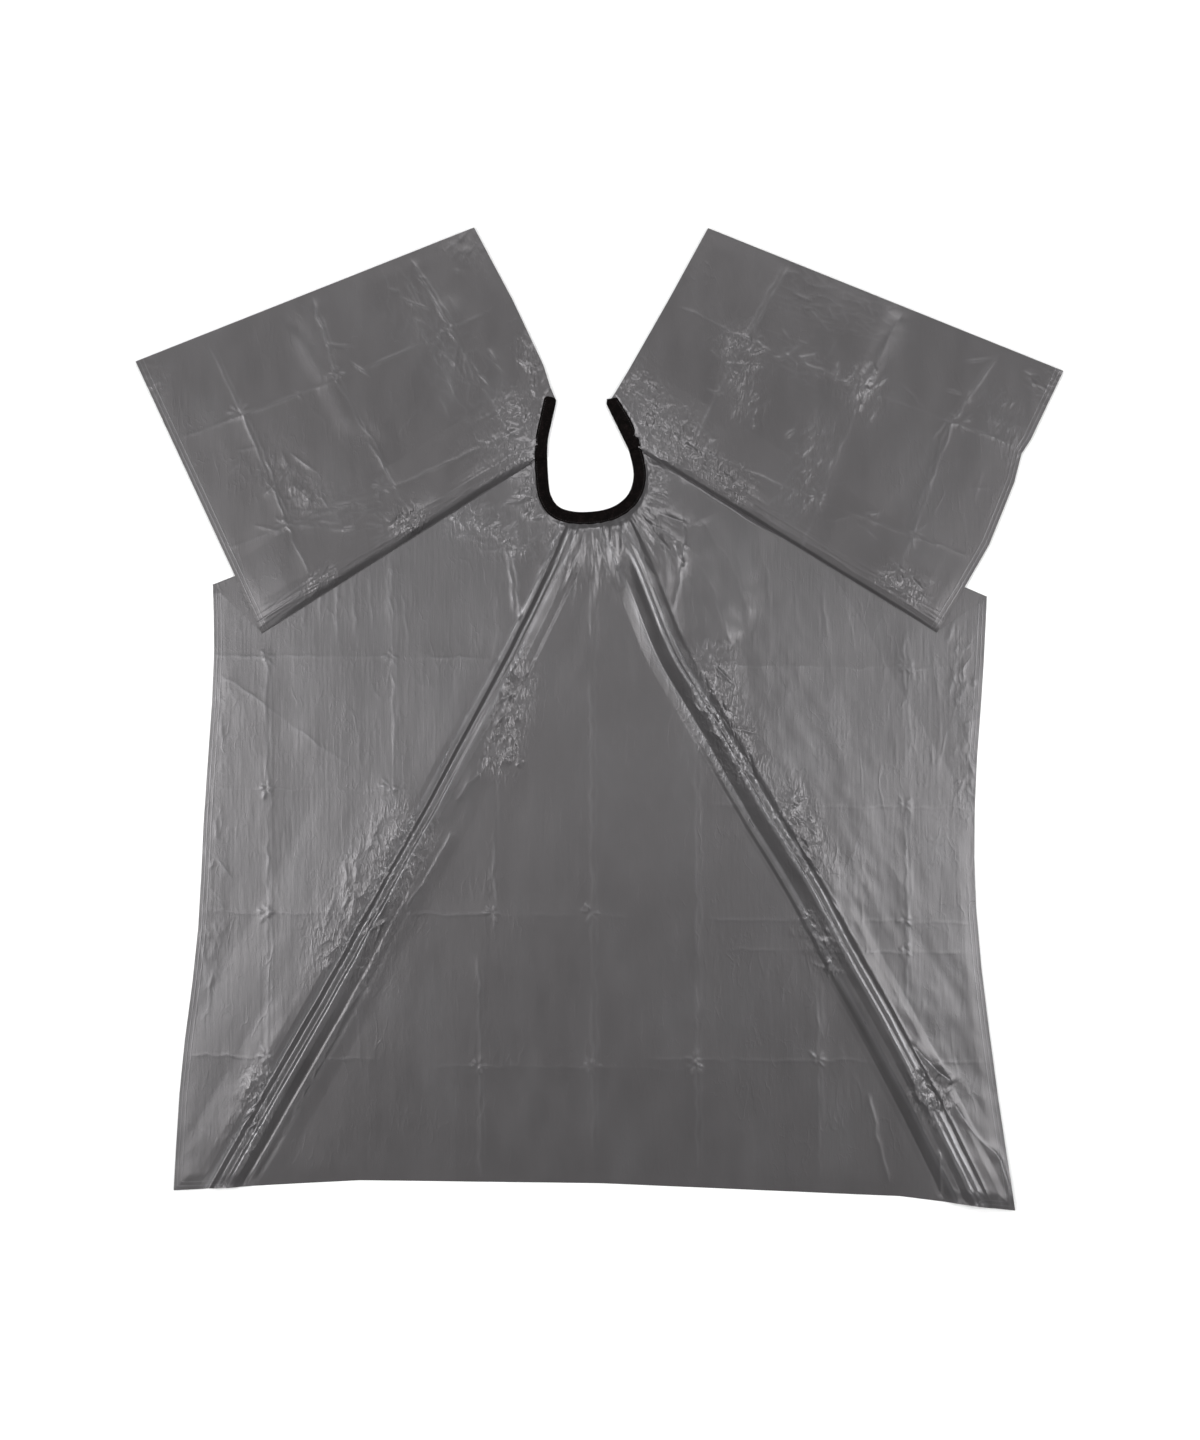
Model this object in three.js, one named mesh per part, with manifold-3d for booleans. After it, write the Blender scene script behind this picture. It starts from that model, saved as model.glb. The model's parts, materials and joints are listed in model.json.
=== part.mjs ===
// Barber cape of thin plastic film, lying open on a flat surface with its outside up.
// The film is one cut sheet. Each shoulder carries an accordion pleat, so that the sheet reads as a
// front panel, two narrow pleat panels and two back panels hinged to each other along the fold lines.
// A folded pile tape binds the neck edge. Millimetres, +Z up, +Y towards the back slit, resting on z = 0.
import * as THREE from "three";
import { mergeVertices } from "three/addons/utils/BufferGeometryUtils.js";
import Module from "manifold-3d";

const wasm = await Module();
wasm.setup();

// Film
const FILM = 0.2; // thickness of the sheet
const LAYER_PITCH = 2; // rise from one loosely folded layer to the next
const FOLD_SETBACK = 0.3; // from a fold line to the film edge on each side of it
const PLEAT_TIP_CLEARANCE = 4; // from the neckband's outer edge to where a pleat panel begins
const BACK_TIP_NOTCH = 9; // extra film left out of a back panel's corner at the pivot

// Two soft folds that stand up from the front panel between the neck and the hem
const RIDGE_HEIGHT = 14; // at the crest, from the surface to the underside of the film
const RIDGE_START_HEIGHT = 3; // where the fold leaves the neck
const RIDGE_HALF_WIDTH = 22; // from the crest to the foot of the slope

// Neckband: a tape folded over the film's neck edge, pile side out
const BAND_WIDTH = 19; // of the folded tape
const BAND_LEAF = 1.1; // thickness of each of its two leaves
const BAND_FOLD = 2; // solid fold along the inner edge
const BAND_END_RADIUS = 6; // rounded corners of the left end
const BAND_PIVOT_GAP = 3.5; // from a pivot to the tape on each side of it
const FILM_CLEARANCE = 0.3; // above and below the film inside the tape
const FILM_EDGE_GAP = 0.5; // from the film's neck edge to the fold of the tape
const FILM_END_INSET = 1; // from the ends of a length of tape to the film's neck edge

// Hook fastener under the left end; it takes the place of the lower leaf there
const HOOK_LENGTH = 26;
const HOOK_INSET = 7; // from the end of the tape
const HOOK_THICKNESS = 0.8;
const HOOK_CLEARANCE = 0.3;

// Seam that holds the tape on the film
const SEAM_INSET = 3; // from the outer edge of the tape
const SEAM_END_INSET = 4; // from each end of a length of tape
const THREAD_WIDTH = 0.6;
const THREAD_HEIGHT = 0.4;
const THREAD_LIFT = 0.1; // from the tape to the underside of the thread

// Where the film climbs from the surface into the tape
const NECK_MARGIN = 60; // from the middle of the tape to where the film lies flat
const NECK_LIP = 1.5; // level film outside the tape
const NECK_STEP = 6; // from a fold line to the next point of the rails round the neck
const ARM_LIP_START = 4; // from an arm's free end to the first point of its level film
const ARM_FOOT_START = 8; // and to the first point where it lies flat
const ARM_LIP_SHARE = 0.6; // where the level film ends on the slit edge, from the tape to the next point

// Steps used for curves
const NECK_STEPS = 26;
const ARM_STEPS = 6;
const CORNER_STEPS = 5;
const EDGE_STEPS = 12;
const OVERCUT = 1; // how far a cutting solid runs past what it cuts
const WELD = 1e-4; // vertices nearer than this are one vertex

// Line of the neckband's middle: left arm, front and right arm, meeting at the two pivots
const LEFT_PIVOT = [-87.75, 394.5];
const RIGHT_PIVOT = [52.5, 409.5];
const LEFT_ARM_LINE = [[-72.75, 483], [-80.5, 448.5], [-86.5, 420], LEFT_PIVOT];
const FRONT_LINE = [
  LEFT_PIVOT, [-86.4, 364], [-81.7, 332], [-63.9, 309], [-27.75, 301], [19, 307.5], [50.25, 330.5],
  [61, 366], RIGHT_PIVOT,
];
const RIGHT_ARM_LINE = [RIGHT_PIVOT, [42.3, 437.5], [29.85, 459], [18.5, 477.5]];

// The cape as it lies, one side at a time. Lengths in mm, angles in degrees, shares from 0 to 1.
const LEFT = {
  side: -1,
  pivot: LEFT_PIVOT,
  shoulderOut: 579.75, // from the middle of the cape to the outer end of the shoulder fold
  shoulderDrop: 193.5, // from the pivot down to the outer end of the shoulder fold
  pleatAngle: 10.9, // of the pleat panel, at the pivot
  pleatLength: 495.5, // of the fold between the pleat panel and the back panel
  backLength: 448.5, // of the back panel's outer edge
  backSplay: 24.9, // of that edge from the Y axis, outwards
  backWidth: 545.5, // of the back panel's far edge
  backTurn: 21.6, // of the far edge from the X axis, rising towards the slit
  frontLength: 907.5, // from the shoulder fold down to the lower corner
  flank: [[0.139, -1.5], [0.376, 12.8], [0.585, 23.3], [0.805, 47.3], [1, 58.5]], // down, out
  outerBulge: [],
  slitBulge: [[0.09, 5.3], [0.17, 9.4], [0.56, 7.8]], // along from the neckband, towards the slit
  ridge: [[0.112, 0.231], [0.46, 0.495], [0.759, 0.732]], // down, out as a share of the corner's
  ridgeFoot: 0.924, // out, as a share of the corner's
};
const RIGHT = {
  side: 1,
  pivot: RIGHT_PIVOT,
  shoulderOut: 581.25,
  shoulderDrop: 226.5,
  pleatAngle: 8.4,
  pleatLength: 532.7,
  backLength: 434.7,
  backSplay: 25.8,
  backWidth: 574,
  backTurn: 21.9,
  frontLength: 919.5,
  flank: [[0.134, -6.3], [0.33, -18], [0.525, -15.3], [0.772, 10.8], [1, 42]],
  outerBulge: [[0.264, 0.5], [0.32, -2.6], [0.42, 6.3], [0.65, 13], [0.84, 7]], // along, outwards
  slitBulge: [[0.1, 0], [0.18, 0], [0.58, -1]],
  ridge: [[0.082, 0.182], [0.457, 0.509], [0.781, 0.771]],
  ridgeFoot: 0.926,
};
const HEM_RISE = [[0.15, 15], [0.221, 21.6], [0.506, 25.7], [0.863, 17]]; // across, above the corners' line

const film = new THREE.MeshStandardMaterial({ color: "#6b696b", roughness: 0.42, metalness: 0 });
const pile = new THREE.MeshStandardMaterial({ color: "#17120f", roughness: 0.95, metalness: 0 });
const hook = new THREE.MeshStandardMaterial({ color: "#141414", roughness: 0.7, metalness: 0 });
const thread = new THREE.MeshStandardMaterial({ color: "#221d1c", roughness: 0.6, metalness: 0 });

const SLOT_HEIGHT = FILM + 2 * FILM_CLEARANCE;
const BAND_HEIGHT = 2 * BAND_LEAF + SLOT_HEIGHT;
const NECK_RISE = BAND_LEAF + FILM_CLEARANCE; // underside of the film inside the tape
const SLOT_INNER = -BAND_WIDTH / 2 + BAND_FOLD; // offsets from the tape's middle, outwards
const FILM_EDGE = SLOT_INNER + FILM_EDGE_GAP;
const LIP = BAND_WIDTH / 2 + NECK_LIP;

const lerp = (a, b, t) => a + (b - a) * t;
const between = (p, q, t) => [lerp(p[0], q[0], t), lerp(p[1], q[1], t)];
const at = (p, z) => [p[0], p[1], z];
const curve = (points) => new THREE.SplineCurve(points.map((p) => new THREE.Vector2(...p)));

// The named points of one side, worked out from its sizes.
function edgesOf(edge, armEnd) {
  const { side, pivot } = edge;
  const polar = (from, length, degrees) => {
    const angle = THREE.MathUtils.degToRad(degrees);
    return [from[0] + side * length * Math.cos(angle), from[1] + length * Math.sin(angle)];
  };
  // Points along a straight edge, each pushed out to one side of it.
  const bulged = (from, to, points, hand) => {
    const length = Math.hypot(to[0] - from[0], to[1] - from[1]);
    const n = [(hand * (to[1] - from[1])) / length, (-hand * (to[0] - from[0])) / length];
    return points.map(([share, out]) => {
      const p = between(from, to, share);
      return [p[0] + n[0] * out, p[1] + n[1] * out];
    });
  };
  const shoulder = [side * edge.shoulderOut, pivot[1] - edge.shoulderDrop];
  const run = side * (shoulder[0] - pivot[0]);
  const slope = THREE.MathUtils.radToDeg(Math.atan2(-edge.shoulderDrop, run));
  const foldCorner = polar(pivot, edge.pleatLength, slope - edge.pleatAngle);
  const farCorner = polar(foldCorner, edge.backLength, 90 - edge.backSplay);
  const nearCorner = polar(farCorner, edge.backWidth, 180 - edge.backTurn);
  const flank = edge.flank.map(([down, out]) => [
    side * (edge.shoulderOut + out), shoulder[1] - down * edge.frontLength,
  ]);
  const corner = flank.at(-1);
  const outer = [farCorner, ...bulged(farCorner, foldCorner, edge.outerBulge, -side)];
  const slit = [...bulged(armEnd, nearCorner, edge.slitBulge, -side), nearCorner];
  const ridge = edge.ridge.map(([down, out]) => [
    corner[0] * out, shoulder[1] - down * edge.frontLength,
  ]);
  return { ...edge, shoulder, foldCorner, outer, slit, flank, corner, ridge };
}

// A point beside a curve: `along` mm from its start and `out` mm to the right of its direction.
function beside(line, along, out) {
  const length = line.getLength();
  const t = THREE.MathUtils.clamp(along / length, 0, 1);
  const p = line.getPointAt(t);
  const d = line.getTangentAt(t);
  const past = along - t * length;
  return [p.x + d.y * out + d.x * past, p.y - d.x * out + d.y * past];
}

// `steps` + 1 points at one offset from a curve.
function rail(line, from, to, out, steps) {
  return Array.from({ length: steps + 1 }, (_, i) => beside(line, lerp(from, to, i / steps), out));
}

// Where a fold line that leaves the start or end of a curve crosses the curve's rail at one offset:
// how far past that end of the curve, and how far along the fold.
function crossing(line, atEnd, edge, foldEnd, out) {
  const d = line.getTangent(atEnd ? 1 : 0);
  const n = new THREE.Vector2(d.y, -d.x);
  const f = new THREE.Vector2(foldEnd[0] - edge.pivot[0], foldEnd[1] - edge.pivot[1]).normalize();
  const reach = out / f.dot(n);
  const past = reach * f.dot(d) * (atEnd ? 1 : -1);
  return { past, reach };
}

// A point on a fold line, `reach` mm from the pivot, set back to one side of the line.
function onFold(edge, end, reach, inwards) {
  const d = new THREE.Vector2(end[0] - edge.pivot[0], end[1] - edge.pivot[1]);
  const length = d.length();
  d.normalize();
  const n = [d.y * edge.side * inwards, -d.x * edge.side * inwards];
  const r = Math.min(reach, length);
  return [
    edge.pivot[0] + d.x * r + n[0] * FOLD_SETBACK,
    edge.pivot[1] + d.y * r + n[1] * FOLD_SETBACK,
  ];
}
const WHOLE = Infinity;
const FRONTWARDS = 1;
const BACKWARDS = -1;

// A film panel from facets that share whole edges, each facet an outline of [x, y, z] on its underside.
function sheet(facets) {
  const positions = [];
  const rims = new Map();
  const name = (p) => p.map((c) => c.toFixed(3)).join();
  const top = (p) => [p[0], p[1], p[2] + FILM];
  const face = (...corners) => positions.push(...corners.flat());
  for (const facet of facets) {
    const flat = facet.map((p) => new THREE.Vector2(p[0], p[1]));
    const ring = THREE.ShapeUtils.isClockWise(flat) ? facet.slice().reverse() : facet;
    const contour = ring.map((p) => new THREE.Vector2(p[0], p[1]));
    for (const corner of THREE.ShapeUtils.triangulateShape(contour, [])) {
      const [a, b, c] = corner.map((i) => ring[i]);
      face(top(a), top(b), top(c));
      face(a, c, b);
    }
    ring.forEach((from, i) => {
      const to = ring[(i + 1) % ring.length];
      const back = name(to) + "|" + name(from);
      if (!rims.delete(back)) rims.set(name(from) + "|" + name(to), [from, to]);
    });
  }
  for (const [from, to] of rims.values()) {
    face(from, to, top(to));
    face(from, top(to), top(from));
  }
  const geometry = new THREE.BufferGeometry();
  geometry.setAttribute("position", new THREE.Float32BufferAttribute(positions, 3));
  const closed = mergeVertices(geometry, WELD);
  closed.computeVertexNormals();
  return closed;
}

// The quads between two rails of equal length.
function strip(a, b) {
  return a.slice(1).map((_, i) => [a[i], a[i + 1], b[i + 1], b[i]]);
}

function toManifold(geometry) {
  const bare = geometry.clone();
  bare.deleteAttribute("normal");
  bare.deleteAttribute("uv");
  const merged = mergeVertices(bare, WELD);
  return new wasm.Manifold(
    new wasm.Mesh({
      numProp: 3,
      vertProperties: new Float32Array(merged.attributes.position.array),
      triVerts: new Uint32Array(merged.index.array),
    }),
  );
}

function fromManifold(solid) {
  const mesh = solid.getMesh();
  const geometry = new THREE.BufferGeometry();
  geometry.setAttribute("position", new THREE.BufferAttribute(mesh.vertProperties, 3));
  geometry.setIndex(new THREE.BufferAttribute(mesh.triVerts, 1));
  geometry.computeVertexNormals();
  return geometry;
}

// An outline pulled up from one height to another.
function slab(outline, bottom, height) {
  const shape = new THREE.Shape(outline.map((p) => new THREE.Vector2(...p)));
  const geometry = new THREE.ExtrudeGeometry(shape, { depth: height, bevelEnabled: false });
  return geometry.translate(0, 0, bottom);
}

// The outline of a ribbon that follows a curve between two offsets.
function ribbon(line, from, to, inner, outer, steps) {
  return [...rail(line, from, to, outer, steps), ...rail(line, from, to, inner, steps).reverse()];
}

// A ribbon whose start has round corners.
function roundedRibbon(line, from, to, inner, outer, radius, steps) {
  const corners = Array.from({ length: CORNER_STEPS + 1 }, (_, i) => {
    const angle = (i / CORNER_STEPS) * (Math.PI / 2);
    return [radius * (1 - Math.sin(angle)), radius * (1 - Math.cos(angle))];
  });
  const start = corners.map(([along, side]) => beside(line, from + along, inner + side));
  const end = corners.map(([along, side]) => beside(line, from + along, outer - side)).reverse();
  const body = from + radius + (to - from - radius) / steps;
  return [...start, ...end, ...ribbon(line, body, to, inner, outer, steps - 1)];
}

// One length of the folded tape: two leaves joined along the inner edge, with the film between them.
function tape(line, from, to, base, outline, window) {
  const slot = ribbon(line, from - OVERCUT, to + OVERCUT, SLOT_INNER, BAND_WIDTH, NECK_STEPS);
  let solid = toManifold(slab(outline, base, BAND_HEIGHT));
  solid = solid.subtract(toManifold(slab(slot, base + BAND_LEAF, SLOT_HEIGHT)));
  if (window) {
    const depth = OVERCUT + BAND_LEAF + SLOT_HEIGHT / 2;
    solid = solid.subtract(toManifold(slab(window, base - OVERCUT, depth)));
  }
  return fromManifold(solid);
}

// The thread along the seam, on the tape's upper face.
function seam(line, from, to, base, steps) {
  const middle = BAND_WIDTH / 2 - SEAM_INSET;
  const outline = ribbon(line, from, to, middle - THREAD_WIDTH / 2, middle + THREAD_WIDTH / 2, steps);
  return slab(outline, base + BAND_HEIGHT + THREAD_LIFT, THREAD_HEIGHT);
}

const part = new THREE.Group();
function add(name, geometry, material) {
  const mesh = new THREE.Mesh(geometry, material);
  mesh.name = name;
  part.add(mesh);
}

const half = BAND_WIDTH / 2;
const PLEAT_BASE = LAYER_PITCH;
const BACK_BASE = 2 * LAYER_PITCH;
const frontLine = curve(FRONT_LINE);
const leftLine = curve(LEFT_ARM_LINE);
const rightLine = curve(RIGHT_ARM_LINE);
const frontLength = frontLine.getLength();
const leftLength = leftLine.getLength();
const rightLength = rightLine.getLength();
const left = edgesOf(LEFT, LEFT_ARM_LINE[0]);
const right = edgesOf(RIGHT, RIGHT_ARM_LINE.at(-1));
const hem = HEM_RISE.map(([across, rise]) => {
  const p = between(left.corner, right.corner, across);
  return [p[0], p[1] + rise];
});

// The front panel, from the neck down to the hem.
function frontPanel() {
  const start = (edge, reach, z) => at(onFold(edge, edge.shoulder, reach, FRONTWARDS), z);
  const inset = BAND_PIVOT_GAP + FILM_END_INSET;
  const edgeRail = rail(frontLine, inset, frontLength - inset, FILM_EDGE, NECK_STEPS);
  const railOf = (offset, z) => {
    const first = crossing(frontLine, false, left, left.shoulder, offset);
    const last = crossing(frontLine, true, right, right.shoulder, offset);
    const from = NECK_STEP - first.past;
    const to = frontLength + last.past - NECK_STEP;
    const points = rail(frontLine, from, to, offset, NECK_STEPS - 2).map((p) => at(p, z));
    return [start(left, first.reach, z), ...points, start(right, last.reach, z)];
  };
  const neck = edgeRail.map((p) => at(p, NECK_RISE));
  const lip = railOf(LIP, NECK_RISE);
  const foot = railOf(NECK_MARGIN, 0);

  const folds = [left, right].map((edge) => {
    const first = edge.ridge[0];
    const reach = foot.map((p) => Math.hypot(p[0] - first[0], p[1] - first[1]));
    const index = reach.indexOf(Math.min(...reach));
    foot[index] = at(foot[index], RIDGE_START_HEIGHT);
    const footOut = edge.corner[0] * edge.ridgeFoot;
    const line = (shift, height) => [
      foot[index + shift],
      ...edge.ridge.map((p) => at([p[0] + shift * RIDGE_HALF_WIDTH, p[1]], height)),
      at(hemPoint(footOut + shift * RIDGE_HALF_WIDTH), height),
    ];
    return { index, before: line(-1, 0), crest: line(0, RIDGE_HEIGHT), after: line(1, 0) };
  });
  const [leftFold, rightFold] = folds;
  const flank = (edge) => [
    start(edge, WHOLE, 0),
    ...curve([edge.shoulder, ...edge.flank]).getPoints(EDGE_STEPS).slice(1).map((p) => [p.x, p.y, 0]),
  ];
  const leftSide = [
    ...foot.slice(0, leftFold.index).reverse(), ...flank(left), ...leftFold.before.slice(1).reverse(),
  ];
  const middle = [
    ...foot.slice(leftFold.index + 1, rightFold.index), ...rightFold.before.slice(1),
    ...hem.slice().reverse().map((p) => at(p, 0)), ...leftFold.after.slice(1).reverse(),
  ];
  const rightSide = [
    ...foot.slice(rightFold.index + 1), ...flank(right), ...rightFold.after.slice(1).reverse(),
  ];
  return sheet([
    ...strip(neck, lip), ...strip(lip, foot), leftSide, middle, rightSide,
    ...folds.flatMap(({ before, crest, after }) => [...strip(before, crest), ...strip(crest, after)]),
  ]);
}

// The point of the hem line at one place across the cape.
function hemPoint(x) {
  const line = [left.corner, ...hem, right.corner];
  const next = Math.max(1, line.findIndex((p) => p[0] >= x));
  const [a, b] = [line[next - 1], line[next]];
  return between(a, b, (x - a[0]) / (b[0] - a[0]));
}

// The narrow panel folded back over the front panel at one shoulder. It begins clear of the neckband on
// both of its folds, which `armLine` and the front line of the neckband settle.
function pleatPanel(edge, armLine) {
  const offset = half + PLEAT_TIP_CLEARANCE;
  const onRight = edge.side > 0;
  const frontTip = crossing(frontLine, onRight, edge, edge.shoulder, offset).reach;
  const backTip = crossing(armLine, !onRight, edge, edge.foldCorner, offset).reach;
  const outline = [
    onFold(edge, edge.shoulder, Math.max(frontTip, backTip), FRONTWARDS),
    onFold(edge, edge.shoulder, WHOLE, FRONTWARDS),
    onFold(edge, edge.foldCorner, WHOLE, BACKWARDS),
    onFold(edge, edge.foldCorner, Math.max(frontTip, backTip), BACKWARDS),
  ];
  return sheet([outline.map((p) => at(p, PLEAT_BASE))]);
}

// A back panel, from its fold at the shoulder round to the back slit. `line` is its arm of the neckband,
// taken from the free end or from the pivot as the neckband runs.
function backPanel(edge, line) {
  const length = line.getLength();
  const inset = BAND_PIVOT_GAP + BACK_TIP_NOTCH;
  const z = BACK_BASE + NECK_RISE;
  const pivotLast = edge.side < 0;
  const along = (s) => (pivotLast ? s : length - s);
  const offsets = (from, to, out, steps) =>
    Array.from({ length: steps + 1 }, (_, i) => beside(line, along(lerp(from, to, i / steps)), out));
  const fold = (reach, height) => at(onFold(edge, edge.foldCorner, reach, BACKWARDS), height);
  const railOf = (corner, from, offset, height) => {
    const end = crossing(line, pivotLast, edge, edge.foldCorner, offset);
    const to = length + end.past - NECK_STEP;
    const points = offsets(from, to, offset, ARM_STEPS - 2);
    const last = fold(end.reach + BACK_TIP_NOTCH, height);
    return [at(corner, height), ...points.map((p) => at(p, height)), last];
  };
  const neck = offsets(FILM_END_INSET, length - inset, FILM_EDGE, ARM_STEPS).map((p) => at(p, z));
  const lip = railOf(between(neck[0], edge.slit[0], ARM_LIP_SHARE), ARM_LIP_START, LIP, z);
  const foot = railOf(edge.slit[1], ARM_FOOT_START, NECK_MARGIN, BACK_BASE);
  const field = [
    ...foot, fold(WHOLE, BACK_BASE), ...edge.outer.slice().reverse().map((p) => at(p, BACK_BASE)),
    ...edge.slit.slice(2).reverse().map((p) => at(p, BACK_BASE)),
  ];
  return sheet([...strip(neck, lip), ...strip(lip, foot), field]);
}

// The front length of tape and its seam
const gap = BAND_PIVOT_GAP;
const frontOutline = ribbon(frontLine, gap, frontLength - gap, -half, half, 2 * NECK_STEPS);
add("front_panel", frontPanel(), film);
add("neckband_front", tape(frontLine, gap, frontLength - gap, 0, frontOutline), pile);
add(
  "neckband_front_stitching",
  seam(frontLine, gap + SEAM_END_INSET, frontLength - gap - SEAM_END_INSET, 0, NECK_STEPS),
  thread,
);

// The left back panel with its arm of the neckband, which ends in the hook fastener
const leftOutline = roundedRibbon(leftLine, 0, leftLength - gap, -half, half, BAND_END_RADIUS, 2 * ARM_STEPS);
const hookFrom = HOOK_INSET;
const hookTo = HOOK_INSET + HOOK_LENGTH;
const hookWindow = ribbon(
  leftLine, hookFrom - HOOK_CLEARANCE, hookTo + HOOK_CLEARANCE, SLOT_INNER, BAND_WIDTH, ARM_STEPS,
);
const hookOutline = ribbon(leftLine, hookFrom, hookTo, SLOT_INNER + HOOK_CLEARANCE, half, ARM_STEPS);
add("left_pleat_panel", pleatPanel(left, leftLine), film);
add("left_back_panel", backPanel(left, leftLine), film);
add("neckband_left_arm", tape(leftLine, 0, leftLength - gap, BACK_BASE, leftOutline, hookWindow), pile);
add("hook_fastener", slab(hookOutline, BACK_BASE, HOOK_THICKNESS), hook);
add(
  "neckband_left_stitching",
  seam(leftLine, BAND_END_RADIUS, leftLength - gap - SEAM_END_INSET, BACK_BASE, ARM_STEPS),
  thread,
);

// The right back panel with its arm of the neckband, cut square at its end
const rightOutline = ribbon(rightLine, gap, rightLength, -half, half, 2 * ARM_STEPS);
add("right_pleat_panel", pleatPanel(right, rightLine), film);
add("right_back_panel", backPanel(right, rightLine), film);
add("neckband_right_arm", tape(rightLine, gap, rightLength, BACK_BASE, rightOutline), pile);
add(
  "neckband_right_stitching",
  seam(rightLine, gap + SEAM_END_INSET, rightLength - SEAM_END_INSET, BACK_BASE, ARM_STEPS),
  thread,
);

// The origin is under the middle of the laid cape.
const box = new THREE.Box3().setFromObject(part);
const centre = box.getCenter(new THREE.Vector3());
part.position.set(-centre.x, -centre.y, -box.min.z);

export default part;
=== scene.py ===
"""Looks of the barber cape: thin satin film with its folds, packing creases and crumples, a pile neckband
with its seam and hook fastener, a plain stage, soft light and a camera straight above. Shapes are worked
out in millimetres in the row frame and become metres when a mesh is made."""
import json
import math

import bpy
import numpy as np
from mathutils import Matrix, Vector
from mathutils.geometry import delaunay_2d_cdt


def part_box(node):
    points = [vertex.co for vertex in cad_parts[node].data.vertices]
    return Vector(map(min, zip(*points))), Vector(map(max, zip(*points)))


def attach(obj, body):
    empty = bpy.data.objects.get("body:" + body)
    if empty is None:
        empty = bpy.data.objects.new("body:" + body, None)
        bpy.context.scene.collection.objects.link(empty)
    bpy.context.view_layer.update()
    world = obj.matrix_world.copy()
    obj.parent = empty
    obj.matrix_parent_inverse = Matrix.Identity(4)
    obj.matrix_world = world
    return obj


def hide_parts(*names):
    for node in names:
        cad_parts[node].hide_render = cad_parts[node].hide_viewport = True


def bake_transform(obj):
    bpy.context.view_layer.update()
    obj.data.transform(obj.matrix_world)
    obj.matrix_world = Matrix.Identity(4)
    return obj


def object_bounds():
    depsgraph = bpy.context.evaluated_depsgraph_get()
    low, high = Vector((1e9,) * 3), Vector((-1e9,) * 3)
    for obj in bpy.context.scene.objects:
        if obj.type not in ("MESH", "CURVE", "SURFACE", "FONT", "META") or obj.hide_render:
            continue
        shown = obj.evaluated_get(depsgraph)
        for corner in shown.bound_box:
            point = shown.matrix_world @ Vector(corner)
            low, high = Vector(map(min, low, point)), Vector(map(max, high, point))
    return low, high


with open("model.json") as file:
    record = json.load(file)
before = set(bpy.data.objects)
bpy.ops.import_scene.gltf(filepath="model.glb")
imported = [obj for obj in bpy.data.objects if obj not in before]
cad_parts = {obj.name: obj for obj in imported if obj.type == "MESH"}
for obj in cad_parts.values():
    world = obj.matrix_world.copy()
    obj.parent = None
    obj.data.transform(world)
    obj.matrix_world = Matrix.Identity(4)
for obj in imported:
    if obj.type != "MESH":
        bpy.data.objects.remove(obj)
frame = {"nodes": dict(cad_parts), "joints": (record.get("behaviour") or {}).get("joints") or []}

cad_bounds = [list(corner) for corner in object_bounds()]
MM = 0.001

# Film
FILM = 0.2  # thickness, mm
FILM_MIDDLE = FILM / 2  # height of the modelled surface above the underside of a level
LEVELS = {"front": 0.0, "pleat": 2.0, "back": 4.0}  # undersides of the three layers at a folded shoulder
FINE, MEDIUM, COARSE = 2.0, 4.0, 8.0  # mesh steps, mm
FINE_BEND, MEDIUM_BEND = 0.045, 0.010  # bend over one fine step that calls for a finer mesh, mm
RIM_STEP = 3.0
ROW_PITCH, ROW_STEP = 1.25, 4.0  # rows of points beside a fold: from row to row and along a row, mm
FOLD_EASE = 16.0  # relief fades out over this distance from a fold line
EDGE_EASE = 24.0  # and over this from a free edge
FRONT_RANGE, PLEAT_RANGE, BACK_RANGE = (0.06, 22), (1.7, 2.6), (3.4, 21)  # lowest and highest film, mm
BACK_ROWS_REACH = (-30, 30)  # reach of the rows of points beside a back panel's fold, mm
FILM_MARKS = ("mark", "streak", "crush", "edge")
FAR = 99.0  # a distance to the hem that shows no hem line, mm
UPWARD = 0.1  # least vertical part of the normal of a face that looks up

# Neckband
BAND_OUTER = 11.0  # from the middle of the band to the level film beside it
NECK_FOOT = 60.0  # from the middle of the band to where the film lies flat
NECK_RISE = 1.4  # climb of the film into the band
NECK_TUCK = 2.5  # how far the film's relief reaches in under the band
NECK_LIMIT, NECK_SLOPE = 2.4, 1.5  # height the relief may have at the band, and how that grows outwards
FOLD_CLEAR = (2, 26)  # the climb into the band fades in between these distances from a fold line


# -------------------- numbers


def smooth(start, end, value):
    """0 before start, 1 after end, an S curve between them."""
    share = np.clip((value - start) / (end - start), 0, 1)
    return share * share * (3 - 2 * share)


def bell(distance, reach):
    """1 at no distance, dying away beyond the reach."""
    return np.exp(-((distance / reach) ** 2))


def noise(x, y, seed):
    """Smooth gradient noise, about -1 to 1, one bump to each unit cell."""
    size = 128
    turns = np.random.default_rng(seed).uniform(0, 2 * math.pi, (size, size))
    left, low = np.floor(x).astype(int), np.floor(y).astype(int)
    across, up = x - left, y - low

    def corner(dx, dy):
        angle = turns[(left + dx) % size, (low + dy) % size]
        return np.cos(angle) * (across - dx) + np.sin(angle) * (up - dy)

    sx = across**3 * (across * (6 * across - 15) + 10)
    sy = up**3 * (up * (6 * up - 15) + 10)
    bottom = corner(0, 0) * (1 - sx) + corner(1, 0) * sx
    top = corner(0, 1) * (1 - sx) + corner(1, 1) * sx
    return 1.5 * (bottom * (1 - sy) + top * sy)


def turned(points, degrees, along, across):
    """Points in cells of `along` by `across` mm that are turned from the X axis."""
    direction = heading(degrees)
    return points @ direction / along, points @ upright(direction) / across


def crinkle(points, degrees, along, across, seed):
    """Sharp crests between smooth hollows, from 0 to 1, drawn out along one direction."""
    x, y = turned(points, degrees, along, across)
    bent = x + 0.35 * noise(x * 1.7, y * 1.7, seed + 1)
    crests = 1 - np.abs(noise(bent, y, seed)) * 2.2
    return np.clip(crests, 0, 1) ** 1.5


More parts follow.
